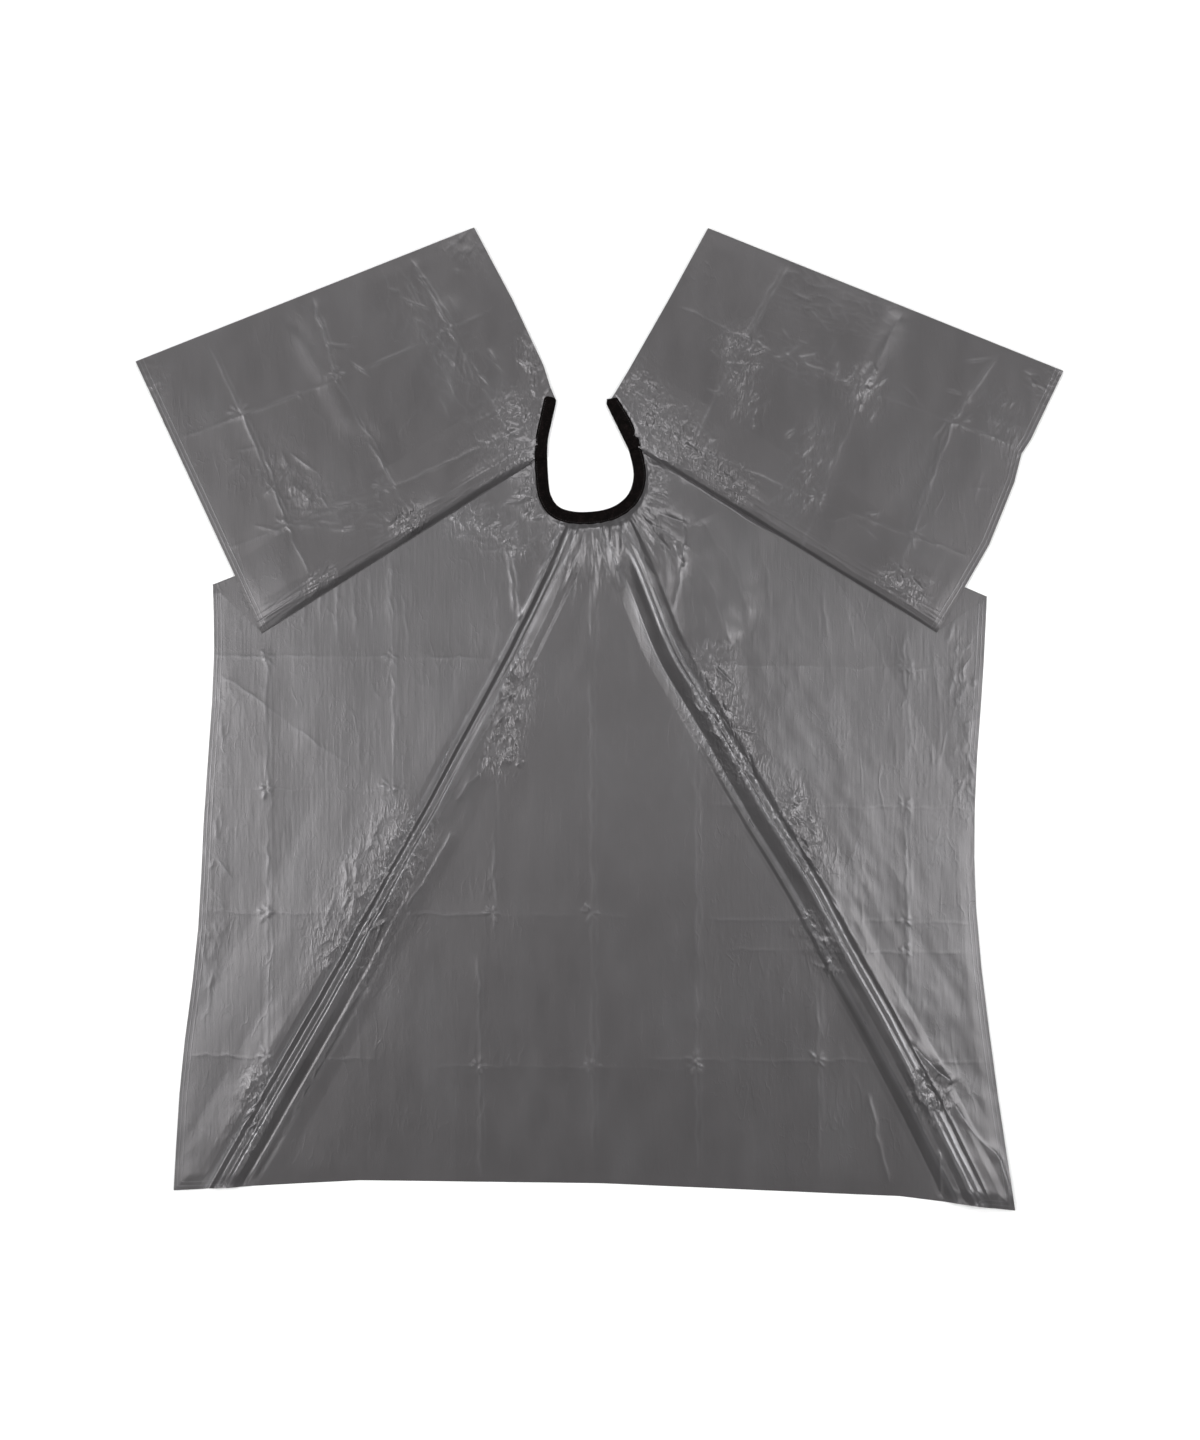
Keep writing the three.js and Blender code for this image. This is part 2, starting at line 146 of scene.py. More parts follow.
def sizes(vectors):
    """The length of each vector in rows of x, y."""
    return np.hypot(*np.asarray(vectors).T)


def run_along(line):
    """How far along a line each of its points lies."""
    return np.concatenate([[0], np.cumsum(sizes(np.diff(line, axis=0)))])


def heading(degrees):
    """The unit vector at an angle from the X axis."""
    angle = math.radians(degrees)
    return np.array([math.cos(angle), math.sin(angle)])


def upright(direction):
    """A direction turned a quarter to the left."""
    return np.array([-direction[1], direction[0]])


# -------------------- outlines


def corners_of(node):
    """The corners of a CAD node in mm."""
    return np.array([v.co for v in frame["nodes"][node].data.vertices]) / MM


def top_loop(name, level=None):
    """The rim of a CAD node's upward faces as one loop of x, y points in mm."""
    keys = {}
    ids = [keys.setdefault(tuple(np.round(p, 2)), len(keys)) for p in corners_of(name)]
    places = np.array(list(keys))
    highest = places[:, 2].max()
    rim = {}
    for face in frame["nodes"][name].data.polygons:
        if face.normal.z < UPWARD:
            continue
        ring = [ids[i] for i in face.vertices]
        if level is not None and min(places[ring, 2]) < highest - level:
            continue
        for a, b in zip(ring, ring[1:] + ring[:1]):
            if (b, a) in rim:
                del rim[(b, a)]
            else:
                rim[(a, b)] = True
    after = dict(rim.keys())
    start = next(iter(after))
    loop = [start]
    while after[loop[-1]] != start:
        loop.append(after[loop[-1]])
    return places[loop][:, :2]


def closed(outline):
    """An outline with its first point again at the end."""
    return np.vstack([outline, outline[:1]])


def resampled(line, step):
    """A line's own corners with evenly spaced points between them."""
    ends = np.asarray(line, float)
    points = []
    for a, b in zip(ends[:-1], ends[1:]):
        pieces = max(1, round(float(np.hypot(*(b - a))) / step))
        points += [a + (b - a) * i / pieces for i in range(pieces)]
    points.append(ends[-1])
    return np.array(points)


def inside(points, outline):
    """Which points lie inside a closed outline."""
    x, y = points.T
    found = np.zeros(len(points), bool)
    for (x0, y0), (x1, y1) in zip(outline, np.roll(outline, -1, 0)):
        if y0 != y1:
            found ^= ((y0 > y) != (y1 > y)) & (x < (x1 - x0) * (y - y0) / (y1 - y0) + x0)
    return found


def along_line(points, line):
    """Distance of each point to a line, its side (1 to the left) and its share along the line."""
    line = np.asarray(line, float)
    lengths = sizes(np.diff(line, axis=0))
    nearest = np.full(len(points), np.inf)
    side = np.zeros(len(points))
    share = np.zeros(len(points))
    run = 0.0
    for a, b, length in zip(line[:-1], line[1:], lengths):
        direction = (b - a) / length
        offset = points - a
        reach = np.clip(offset @ direction, 0, length)
        distance = np.hypot(*(offset - reach[:, None] * direction).T)
        nearer = distance < nearest
        nearest[nearer] = distance[nearer]
        side[nearer] = np.sign(direction[0] * offset[nearer, 1] - direction[1] * offset[nearer, 0])
        share[nearer] = (run + reach[nearer]) / lengths.sum()
        run += length
    return nearest, side, share


def distance_to(points, line):
    return along_line(points, line)[0]


def beside(path, low, high, side):
    """Rows of points that follow a path at distances from low to high outwards of it."""
    even = evened(path, ROW_STEP, 1)
    ahead = np.gradient(even, axis=0)
    ahead /= sizes(ahead)[:, None]
    outwards = side * np.column_stack([-ahead[:, 1], ahead[:, 0]])
    offsets = np.arange(low, high, ROW_PITCH)
    return (even[:, None] + outwards[:, None] * offsets[None, :, None]).reshape(-1, 2)


def offset_from(points, path, side):
    """Distance outwards from a path, and the share along it."""
    distance, hand, share = along_line(points, path)
    return distance * hand * side, share


def wavered(line, seed, amount=1.3, step=16):
    """A line with small seeded kinks, as a crease in film has."""
    points = resampled(line, step)
    shifts = np.random.default_rng(seed).normal(0, amount, points.shape)
    shifts[0] = shifts[-1] = 0
    return points + shifts


# -------------------- film


class Film:
    """One panel of film: its outline, the points of its mesh, and the height and marks at each point."""

    def __init__(self, node, level, rows=()):
        self.node = node
        self.outline = top_loop(node)
        self.rim = resampled(closed(self.outline), RIM_STEP)[:-1]
        low, high = self.outline.min(0) + FINE, self.outline.max(0)
        self.columns, self.rows = (np.ceil((high - low) / FINE).astype(int) + 1).tolist()
        i, j = np.meshgrid(np.arange(self.columns), np.arange(self.rows), indexing="ij")
        grid = low + FINE * np.stack([i.ravel(), j.ravel()], 1)
        clear = self.clear_of_rim(grid)
        self.cells = np.stack([i.ravel()[clear], j.ravel()[clear]], 1)
        self.free = np.ones(len(clear), bool)  # grid points that no row of points replaces
        following = [np.zeros((0, 2))]
        for path, low, high, side in rows:
            offset, _ = offset_from(grid[clear], path, side)
            self.free &= (offset < low - 0.5 * FINE) | (offset > high + 0.5 * FINE)
            following.append(beside(path, low, high, side))
        following = np.vstack(following)
        following = following[self.clear_of_rim(following)]
        self.points = np.vstack([self.rim, grid[clear], following])
        self.base = np.full(len(self.points), level + FILM_MIDDLE)
        self.height = np.zeros(len(self.points))
        self.mark = np.zeros(len(self.points))  # crease lines made paler in colour: partly the film's whitening, partly a painted highlight
        self.streak = np.zeros(len(self.points))  # strength of the fine streaks, and of the painted sheen that lightens the colour with them
        self.crush = np.zeros(len(self.points))  # strength of the smallest crumples
        self.edge = np.full(len(self.points), FAR)  # distance to the hemmed edges

    def clear_of_rim(self, points):
        """The indices of the points that lie inside the outline and not too close to it."""
        held = np.flatnonzero(inside(points, self.outline))
        return held[distance_to(points[held], closed(self.outline)) > 0.55 * FINE]

    def near(self, line, reach):
        low, high = np.min(line, 0) - reach, np.max(line, 0) + reach
        return np.flatnonzero(((self.points > low) & (self.points < high)).all(1))

    def show(self, name, which, values):
        """Raises one of the film's marks to the values given, where they are higher."""
        held = getattr(self, name)
        held[which] = np.maximum(held[which], values)

    def ease(self, line, reach):
        """Fades the relief out towards a line."""
        self.height *= smooth(0, reach, distance_to(self.points, line))

    def crease(self, line, height, width, seed, mark=0.5, broad=0.0, spread=20.0, ends=0.1, kink=1.3):
        """A crease: a sharp crest, with broad flanks where `broad` gives them a height."""
        path = wavered(line, seed, kink)
        length = float(sizes(np.diff(path, axis=0)).sum())
        which = self.near(path, 5 * max(width, spread if broad else 0))
        distance, _, share = along_line(self.points[which], path)
        waves = noise(share * length / 55, np.full(len(share), 0.5), seed + 7)
        strength = np.clip(0.75 + 0.7 * waves, 0.15, 1.3)
        strength *= smooth(-0.01, ends, share) * smooth(-0.01, ends, 1 - share)
        crest = height * np.exp(-(np.sqrt(distance**2 + 0.3) - 0.55) / width)
        flanks = broad * bell(distance, spread)
        self.height[which] += strength * (crest + flanks)
        # The crest line is made paler in colour: partly whitening, partly a painted highlight.
        self.show("mark", which, mark * strength * bell(distance, 1.9))

    def star(self, centre, size, height, seed, arms=7):
        """Short creases that run out from a point where folds crossed."""
        random = np.random.default_rng(seed)
        centre = np.array(centre, float)
        for arm in range(arms):
            angle = 2 * math.pi * (arm + random.uniform(-0.3, 0.3)) / arms
            reach = size * random.uniform(0.5, 1.2)
            tip = centre + reach * np.array([math.cos(angle), math.sin(angle)])
            tall = height * random.uniform(0.5, 1.1)
            self.crease([centre, tip], tall, 1.8, seed + 31 * arm, 0.7, ends=0.45)

    def crumple(self, line, reach, height, grain, degrees, seed, stretch=2.6, mark=0.5):
        """A crumpled zone along a line, its crests drawn out along one direction."""
        which = self.near(line, 2.6 * reach)
        points = self.points[which]
        zone = bell(distance_to(points, line), reach)
        large = crinkle(points, degrees, grain * stretch, grain, seed)
        small = crinkle(points, degrees + 24, grain * stretch * 0.5, grain * 0.5, seed + 11)
        self.height[which] += zone * height * (0.7 * large + 0.35 * small)
        # Crumple crests are made paler in colour: partly whitening, partly a painted highlight.
        self.show("mark", which, mark * np.clip(zone * 1.3, 0, 1) * np.clip(large * 1.6 - 0.85, 0, 1))
        self.show("crush", which, zone * smooth(0.1, 0.5, height))

    def bundle(self, line, reach, degrees, count, seed, height=1.5, long=38, spread=24):
        """Many short creases scattered along a line, most of them in one direction."""
        random = np.random.default_rng(seed)
        path = resampled(line, 4.0)
        for k in range(count):
            middle = path[random.integers(len(path))] + random.normal(0, 0.5 * reach, 2)
            angle = math.radians(degrees + random.normal(0, spread))
            half = 0.5 * long * random.uniform(0.4, 1.3) * np.array([math.cos(angle), math.sin(angle)])
            self.crease([middle - half, middle + half], height * random.uniform(0.4, 1.3),
                        random.uniform(1.1, 2.2), seed + k, 0.35, broad=height * random.uniform(0, 0.3),
                        spread=random.uniform(6, 10), ends=0.4, kink=0.9)

    def swell(self, line, reach, height):
        """A soft swelling along a line."""
        which = self.near(line, 2.6 * reach)
        distance, _, share = along_line(self.points[which], line)
        ends = smooth(0, 0.2, share) * smooth(0, 0.2, 1 - share)
        self.height[which] += 0.5 * height * ends * bell(distance, reach)

    def undulate(self, seed, tall, soft, degrees):
        """The slow rise and fall of film that lies loose, with faint creases in it."""
        x, y = turned(self.points, degrees, 150, 85)
        self.height += tall * (0.5 + 0.5 * noise(x, y, seed))
        x, y = turned(self.points, degrees, 60, 26)
        self.height += soft * noise(x, y, seed + 3)
        patches = smooth(-0.1, 0.6, noise(self.points[:, 0] / 130, self.points[:, 1] / 130, seed + 5))
        lines = crinkle(self.points, degrees, 110, 15, seed + 9)
        self.height += 0.5 * soft * patches * lines

    def mesh(self, low, high):
        """The panel's object. Steps are fine where the film bends and coarse where it is flat."""
        self.height = np.clip(self.base + self.height, low, high)
        count = len(self.rim)
        field = np.full((self.columns + 2, self.rows + 2), np.nan)
        field[self.cells[:, 0] + 1, self.cells[:, 1] + 1] = self.height[count : count + len(self.cells)]
        bend = np.zeros_like(field)
        for axis in (0, 1):
            change = np.abs(np.roll(field, 1, axis) + np.roll(field, -1, axis) - 2 * field)
            bend = np.maximum(bend, np.nan_to_num(change, nan=0.0))
        for axis in (0, 1):
            bend = np.maximum(bend, np.maximum(np.roll(bend, 1, axis), np.roll(bend, -1, axis)))
        bend = bend[self.cells[:, 0] + 1, self.cells[:, 1] + 1]
        on_medium = (self.cells % round(MEDIUM / FINE) == 0).all(1)
        on_coarse = (self.cells % round(COARSE / FINE) == 0).all(1)
        kept = self.free & ((bend > FINE_BEND) | (on_medium & (bend > MEDIUM_BEND)) | on_coarse)
        following = np.arange(count + len(self.cells), len(self.points))
        chosen = np.concatenate([np.arange(count), count + np.flatnonzero(kept), following])
        loop = [(i, (i + 1) % count) for i in range(count)]
        flat = [Vector(p) for p in self.points[chosen].tolist()]
        places, _, faces, _, _, _ = delaunay_2d_cdt(flat, loop, [], 1, 1e-6, False)
        corners = np.array([face[:] for face in faces])
        spots = np.array([p[:] for p in places])[: len(chosen)]
        assert len(places) == len(chosen) and np.allclose(spots, self.points[chosen], atol=1e-3)
        middles = self.points[chosen][corners].mean(1)
        corners = corners[inside(middles, self.outline)]
        a, b, c = (self.points[chosen][corners[:, k]] for k in range(3))
        turn = (b - a)[:, 0] * (c - a)[:, 1] - (b - a)[:, 1] * (c - a)[:, 0]
        corners[turn < 0] = corners[turn < 0][:, ::-1]
        solid = np.column_stack([self.points[chosen], self.height[chosen]])
        piece = made(self.node + "_film", solid, corners[np.abs(turn) > 1e-6])
        for name in FILM_MARKS:
            give(piece, name, getattr(self, name)[chosen])
        return piece


def made(name, points, faces):
    """A smooth mesh object from points in mm."""
    mesh = bpy.data.meshes.new(name)
    mesh.from_pydata((np.asarray(points) * MM).tolist(), [], [list(map(int, f)) for f in faces])
    mesh.update()
    mesh.polygons.foreach_set("use_smooth", [True] * len(mesh.polygons))
    piece = bpy.data.objects.new(name, mesh)
    bpy.context.scene.collection.objects.link(piece)
    return piece


def give(piece, name, values):
    """Stores one number at each point of a mesh for its material to read."""
    attribute = piece.data.attributes.new(name, "FLOAT", "POINT")
    attribute.data.foreach_set("value", np.asarray(values, np.float32))


def ring_faces(base, rings, sides, turned_over=False):
    """The faces between rings of points that follow each other from point `base`."""
    faces = []
    for start in range(base, base + (rings - 1) * sides, sides):
        for k in range(sides):
            after = (k + 1) % sides
            face = (start + k, start + sides + k, start + sides + after, start + after)
            faces.append((face[0], *face[:0:-1]) if turned_over else face)
    return faces


# -------------------- lines taken from the frame


def pivot_of(joint):
    return np.array(JOINTS[joint]["pos_m"][:2]) / MM


def fold_line(joint, outline):
    """A fold from its pivot to the corner of a panel that lies furthest along it."""
    pivot = pivot_of(joint)
    axis = np.array(JOINTS[joint]["axis"][:2])
    offset = outline - pivot
    on_line = np.abs(offset @ upright(axis)) < 1
    reach = np.where(on_line, np.abs(offset @ axis), 0)
    return np.array([pivot, outline[np.argmax(reach)]])


def crest_of(side):
    """The crest of a raised fold of the front panel, from the neck down to the hem."""
    corners = np.unique(np.round(corners_of("front_panel"), 1), axis=0)
    heights = corners[:, 2]
    on_side = np.sign(corners[:, 0] - NECK_CENTRE[0]) == side
    crest = corners[(heights > heights.max() - SAME_HEIGHT) & on_side]
    start = corners[(np.abs(heights - RIDGE_START) < SAME_HEIGHT) & on_side]
    line = np.vstack([start, crest])[:, :2]
    return line[np.argsort(-line[:, 1])]


def middle_line(name, end="longest"):
    """The middle of a ribbon-shaped node, from the end with its longest or shortest edge, and its width."""
    loop = top_loop(name, level=0.5)
    steps = sizes(np.roll(loop, -1, 0) - loop)
    first = (np.argmax(steps) if end == "longest" else np.argmin(steps)) + 1
    loop = np.roll(loop, -first, 0)
    half = len(loop) // 2
    line = (loop[:half] + loop[::-1][:half]) / 2
    return evened(line), float(np.hypot(*(loop[0] - loop[-1])))


def evened(line, step=1.0, blur=4):
    """A line in even steps with its corners rounded and its ends kept."""
    run = run_along(line)
    spots = np.linspace(0, run[-1], max(2, round(run[-1] / step)) + 1)
    even = np.column_stack([np.interp(spots, run, line[:, k]) for k in (0, 1)])
    padded = np.vstack([2 * even[0] - even[blur:0:-1], even, 2 * even[-1] - even[-2 : -blur - 2 : -1]])
    kernel = np.ones(2 * blur + 1) / (2 * blur + 1)
    return np.column_stack([np.convolve(padded[:, k], kernel, "valid") for k in (0, 1)])


JOINTS = {joint["name"]: joint for joint in frame["joints"]}
SIDES = {"left": -1, "right": 1}
RIDGE_START = 3.2  # height of the film where a raised fold leaves the neck
SAME_HEIGHT = 0.15  # corners this close in height lie on one line, mm
FRONT_BAND, BAND_WIDTH = middle_line("neckband_front")
NECK_CENTRE = (FRONT_BAND.min(0) + FRONT_BAND.max(0)) / 2
if FRONT_BAND[0, 0] > FRONT_BAND[-1, 0]:
    FRONT_BAND = FRONT_BAND[::-1]
ARM_BANDS = {side: middle_line(f"neckband_{side}_arm")[0] for side in SIDES}
WHOLE_BAND = evened(np.vstack([ARM_BANDS["left"][::-1], FRONT_BAND, ARM_BANDS["right"]]), 1.0, 5)


# -------------------- the front panel

# Across a raised fold: distance outwards from its crest line and height in mm, each list at a share of
# the way from the neck to the hem.
LEFT_FOLD = {
    0.15: [(-80, 0), (-52, 0.4), (-47, 2.4), (-40, 2.8), (-36, 3.2), (-21, 9.2), (-19.5, 9.2), (-17.5, 7.2),
           (-14.5, 8.4), (-13.5, 8.2), (-8, 2.2), (-6, 1.4), (-1, 3.4), (4, 3.7), (12, 3.5), (60, 1.8),
           (140, 0)],
    0.45: [(-80, 0), (-58, 0.8), (-34, 2.8), (-28, 4.8), (-26, 5.5), (-24.5, 5.6), (-22, 3.2), (-20.5, 3.0),
           (-15.5, 5.2), (-14, 5.6), (-12.5, 5.0), (-7.5, 0.0), (-5.5, -0.2), (2, 2.5), (10, 3.1), (60, 1.8),
           (140, 0)],
    0.80: [(-85, 0), (-66, 0.8), (-60, 0.4), (-52, 4.0), (-49.5, 4.5), (-46, 3.6), (-34, 12.6), (-28, 15.0),
           (-25.5, 15.0), (-21, 10.6), (-19, 10.6), (-13.5, 13.4), (-11.5, 13.0), (-4, 2.4), (-2, 2.2),
           (4, 4.3), (9, 5.1), (20, 5.0), (60, 2.5), (140, 0)],
}
RIGHT_FOLD = {
    0.20: [(-80, 0), (-48, 0.4), (-43, 1.4), (-36, 2.8), (-31, 3.4), (-12, 18.4), (-9, 19.6), (-6.5, 19.8),
           (-4, 18.2), (-0.5, 19.4), (1.5, 19.4), (3, 18.8), (10, 16.4), (15, 13.6), (19, 12.8), (60, 10.6),
           (120, 7), (260, 0)],
    0.50: [(-80, 0), (-50, 0.4), (-45, 1.2), (-40, 5.2), (-36, 6.2), (-31, 7.0), (-12, 19.8), (-9, 20.6),
           (-6.5, 20.6), (-4.5, 18.8), (-1.5, 20.0), (2, 20.8), (4, 20.6), (8, 17.6), (10, 14.6), (14, 12.6),
           (60, 9.0), (120, 6.0), (260, 0)],
    0.85: [(-80, 0), (-58, 0.4), (-50, 1.2), (-31, 14.6), (-27, 15.4), (-23, 15.6), (-12, 21.6), (-8, 22),
           (-4, 20.4), (1, 20.6), (6, 18.6), (8, 17.6), (12, 13.0), (16, 12.0), (28, 11.2), (38, 8.4),
           (60, 7.0), (120, 5), (260, 0)],
}
FOLD_CRESTS = {-1: (-25, -14.5, 0), 1: (-34, -8, 2)}  # where the crests lie, made paler in colour as a painted highlight
FOLD_ROWS = {-1: (-64, 16), 1: (-60, 22)}  # reach of the rows of points beside each raised fold
FOLD_LONG = 1100  # rounded length of a raised fold, which sets how fast its waves follow each other, mm


def fold_path(line):
    """The line of a raised fold from the neckband to the hem."""
    neck = FRONT_BAND[np.argmin(sizes(FRONT_BAND - line[0]))]
    return evened(np.vstack([neck, line]), 12, 3)


def raised_fold(film, line, profiles, side, seed):
    """A roll of film that runs from the neck to a lower corner, with its sharp crests and its groove."""
    path = fold_path(line)
    which = film.near(path, 220)
    out, share = offset_from(film.points[which], path, side)
    run = share * FOLD_LONG
    level = np.full(len(run), 0.5)
    out += 1.8 * noise(run / 150, level, seed + 1) + 0.5 * noise(run / 45, level, seed + 2)
    section = np.zeros(len(out))
    stops = list(profiles)
    for k, profile in enumerate(profiles.values()):
        weight = np.interp(share, stops, [float(k == other) for other in range(len(stops))])
        section += weight * np.interp(out, *np.array(profile, float).T)
    uneven = 1 + 0.10 * noise(run / 110, out / 40, seed + 3) + 0.05 * noise(run / 35, out / 18, seed + 4)
    film.height[which] += 0.9 * section * uneven * (0.35 + 0.65 * smooth(0, 0.1, share))
    # A painted sheen beside the raised fold, with the streaks there.
    film.show("streak", which, 0.6 * bell(out, 60))
    # Painted highlights: the crest lines are made paler in colour.
    for crest in FOLD_CRESTS[side]:
        film.show("mark", which, 1.2 * bell(out - crest, 2.6))


def gathers(film, seed):
    """Small pleats that fan out from under the neckband, longest below its middle."""
    distance, _, share = along_line(film.points, FRONT_BAND)
    run = share * float(sizes(np.diff(FRONT_BAND, axis=0)).sum())
    low = smooth(0.3, 0.42, share) * (1 - smooth(0.66, 0.8, share))
    crests = 1 - 2.4 * np.abs(noise(run / 19 + 0.01 * distance, distance / 260, seed))
    fine = 1 - 2.4 * np.abs(noise(run / 7, distance / 120, seed + 1))
    patch = 0.4 + 0.6 * smooth(-0.3, 0.5, noise(run / 60, np.zeros(len(run)), seed + 2))
    reach = np.exp(-np.clip(distance - 12, 0, None) / (18 + 60 * low))
    film.height += (1.0 + 7.5 * low) * (crests + 0.25 * fine) * patch * reach
    film.height += 5.0 * low * bell(distance - 55, 45)
    # A painted sheen fanning out from under the band, with the streaks there.
    film.streak = np.maximum(film.streak, np.sqrt(reach))
    film.crush = np.maximum(film.crush, reach * (1 - 0.7 * low))
    random = np.random.default_rng(seed)
    for k in range(GATHER_CREASES):  # single creases that run out from the band's edge
        share_at = random.uniform(0.08, 0.92)
        spot = FRONT_BAND[int(share_at * (len(FRONT_BAND) - 1))]
        outward = (spot - NECK_CENTRE) / np.hypot(*(spot - NECK_CENTRE))
        lean = math.radians(random.normal(0, 14))
        turned_out = outward * math.cos(lean) + upright(outward) * math.sin(lean)
        long = random.uniform(25, 60) + 70 * (0.36 < share_at < 0.72)
        start = spot + outward * BAND_OUTER
        film.crease([start, start + turned_out * long],
                    random.uniform(0.7, 1.9), random.uniform(1.5, 2.6), seed + 50 + k, 0.4,
                    broad=random.uniform(0, 1.2), spread=7, ends=0.5)


# Packing creases of the front panel. Columns: x, then y from and to. Rows: y, then x from and to.
FRONT_COLUMNS = [
    (-500, 120, -530), (-312, 240, -140), (-160, -20, -330), (-182, -350, -690), (-13, 190, -690),
    (143, -15, -690), (326, -380, -690), (457, 150, -450),
]
FRONT_ROWS = [
    (95, -610, -130), (-103, -620, -250), (-290, -600, 60), (-505, -620, -320), (80, 120, 560),
    (-128, 150, 560), (-300, 150, 580), (-345, 180, 560), (-510, 60, 600), (-520, -260, 180),
]
PACKING_SEED = 100


def packing_grid(film):
    """The creases of a sheet that was folded flat, with a star where two of them cross."""
    for turn, (x, first, last) in enumerate(FRONT_COLUMNS, PACKING_SEED + 1):
        film.crease([(x, first), (x + 4, last)], 0.33, 1.7, turn, 0.4, broad=0.25, spread=16, ends=0.06)
        film.crease([(x + 7, first - 12), (x + 10, last + 20)], 0.18, 1.4, turn + 50, 0.3, ends=0.1)
    for turn, (y, first, last) in enumerate(FRONT_ROWS, len(FRONT_COLUMNS) + 1):
        film.crease([(first, y), (last, y - 5)], 0.24, 1.6, PACKING_SEED + turn, 0.25, broad=0.3, ends=0.08)
        for x, high, low in FRONT_COLUMNS:
            if first < x < last and low < y < high:
                film.star((x, y), 18, 0.8, PACKING_SEED + 7 * turn + int(x) % 97, 6)


# Single creases of the front panel: line, height, width, paler line (whitening and painted highlight), then
# broad flanks and their spread
FRONT_CREASES = [
    ([(-574, 72), (-470, -2), (-365, -78)], 0.25, 3, 0.15, 0.5, 30),
    ([(-131, 262), (-124, 205), (-118, 147)], 1.6, 2.4, 0.9, 0, 20),
    ([(-139, 255), (-131, 205), (-127, 160)], 1.0, 2.0, 0.6, 0, 20),
    ([(122, 364), (128, 271), (109, 156)], 1.4, 2.4, 0.5, 1.2, 14),
    ([(134, 258), (172, 190), (198, 110)], 0.7, 3.0, 0.3, 2.0, 18),
    ([(150, 300), (196, 236), (226, 150)], 0.5, 3.0, 0.2, 1.2, 20),
    ([(112, 268), (119, 245), (127, 229)], 2.2, 2.4, 0.8, 0, 20),
    ([(464, -483), (500, -520), (529, -549)], 2.0, 3.0, 0.8, 1.5, 10),
    ([(529, -574), (570, -630), (601, -661), (620, -730)], 2.0, 3.0, 0.7, 1.2, 12),
    ([(508, -643), (512, -718)], 2.2, 2.6, 0.5, 0, 20),
    ([(404, -560), (420, -640), (436, -700)], 0.8, 2.6, 0.5, 0, 20),
]
FRONT_SIDE_CREASES = [  # beside the left raised fold
    [(-155, -51), (-215, -123)], [(-293, -294), (-357, -399)],
    [(-357, -399), (-476, -627)], [(-215, -163), (-293, -290)],
]
FRONT_CRUMPLES = [  # line, reach, height, grain, direction
    ([(-295, -175), (-340, -250), (-380, -350)], 48, 3.2, 26, 62),
    ([(-117, 75), (-122, 30), (-150, -60)], 26, 3.4, 20, 75),
    ([(-502, -541), (-529, -640)], 26, 2.8, 18, 60),
    ([(166, 75), (176, 10), (215, -70)], 34, 4.2, 24, 120),
    ([(281, -124), (320, -215)], 30, 3.0, 20, 128),
    ([(320, -300), (350, -360)], 26, 2.6, 18, 120),
    ([(484, -546), (500, -580)], 26, 3.6, 20, 40),
    ([(540, 118), (548, 0), (556, -151)], 22, 1.4, 22, 80),
    ([(-560, 40), (-575, -200), (-590, -420)], 26, 0.9, 26, 88),
    ([(75, 330), (96, 385)], 22, 2.0, 12, 150),
    ([(-200, 300), (-120, 262)], 34, 2.2, 20, 30),
]
FRONT_BUNDLE, BACK_BUNDLE = 32, 20  # short creases in each crumpled zone
GATHER_CREASES = 34
CRUMPLE_GRAIN = 0.8  # share of a zone's grain that its crumples have
COVER_HEIGHT, COVER_SLOPE = 1.7, 0.5  # room under a folded shoulder, and how it grows beside it
FRONT_STARS = [  # centre, size, height, arms
    ((281, -124), 30, 2.0, 9), ((484, -546), 34, 2.4, 9), ((-502, -541), 28, 1.8, 8),
]


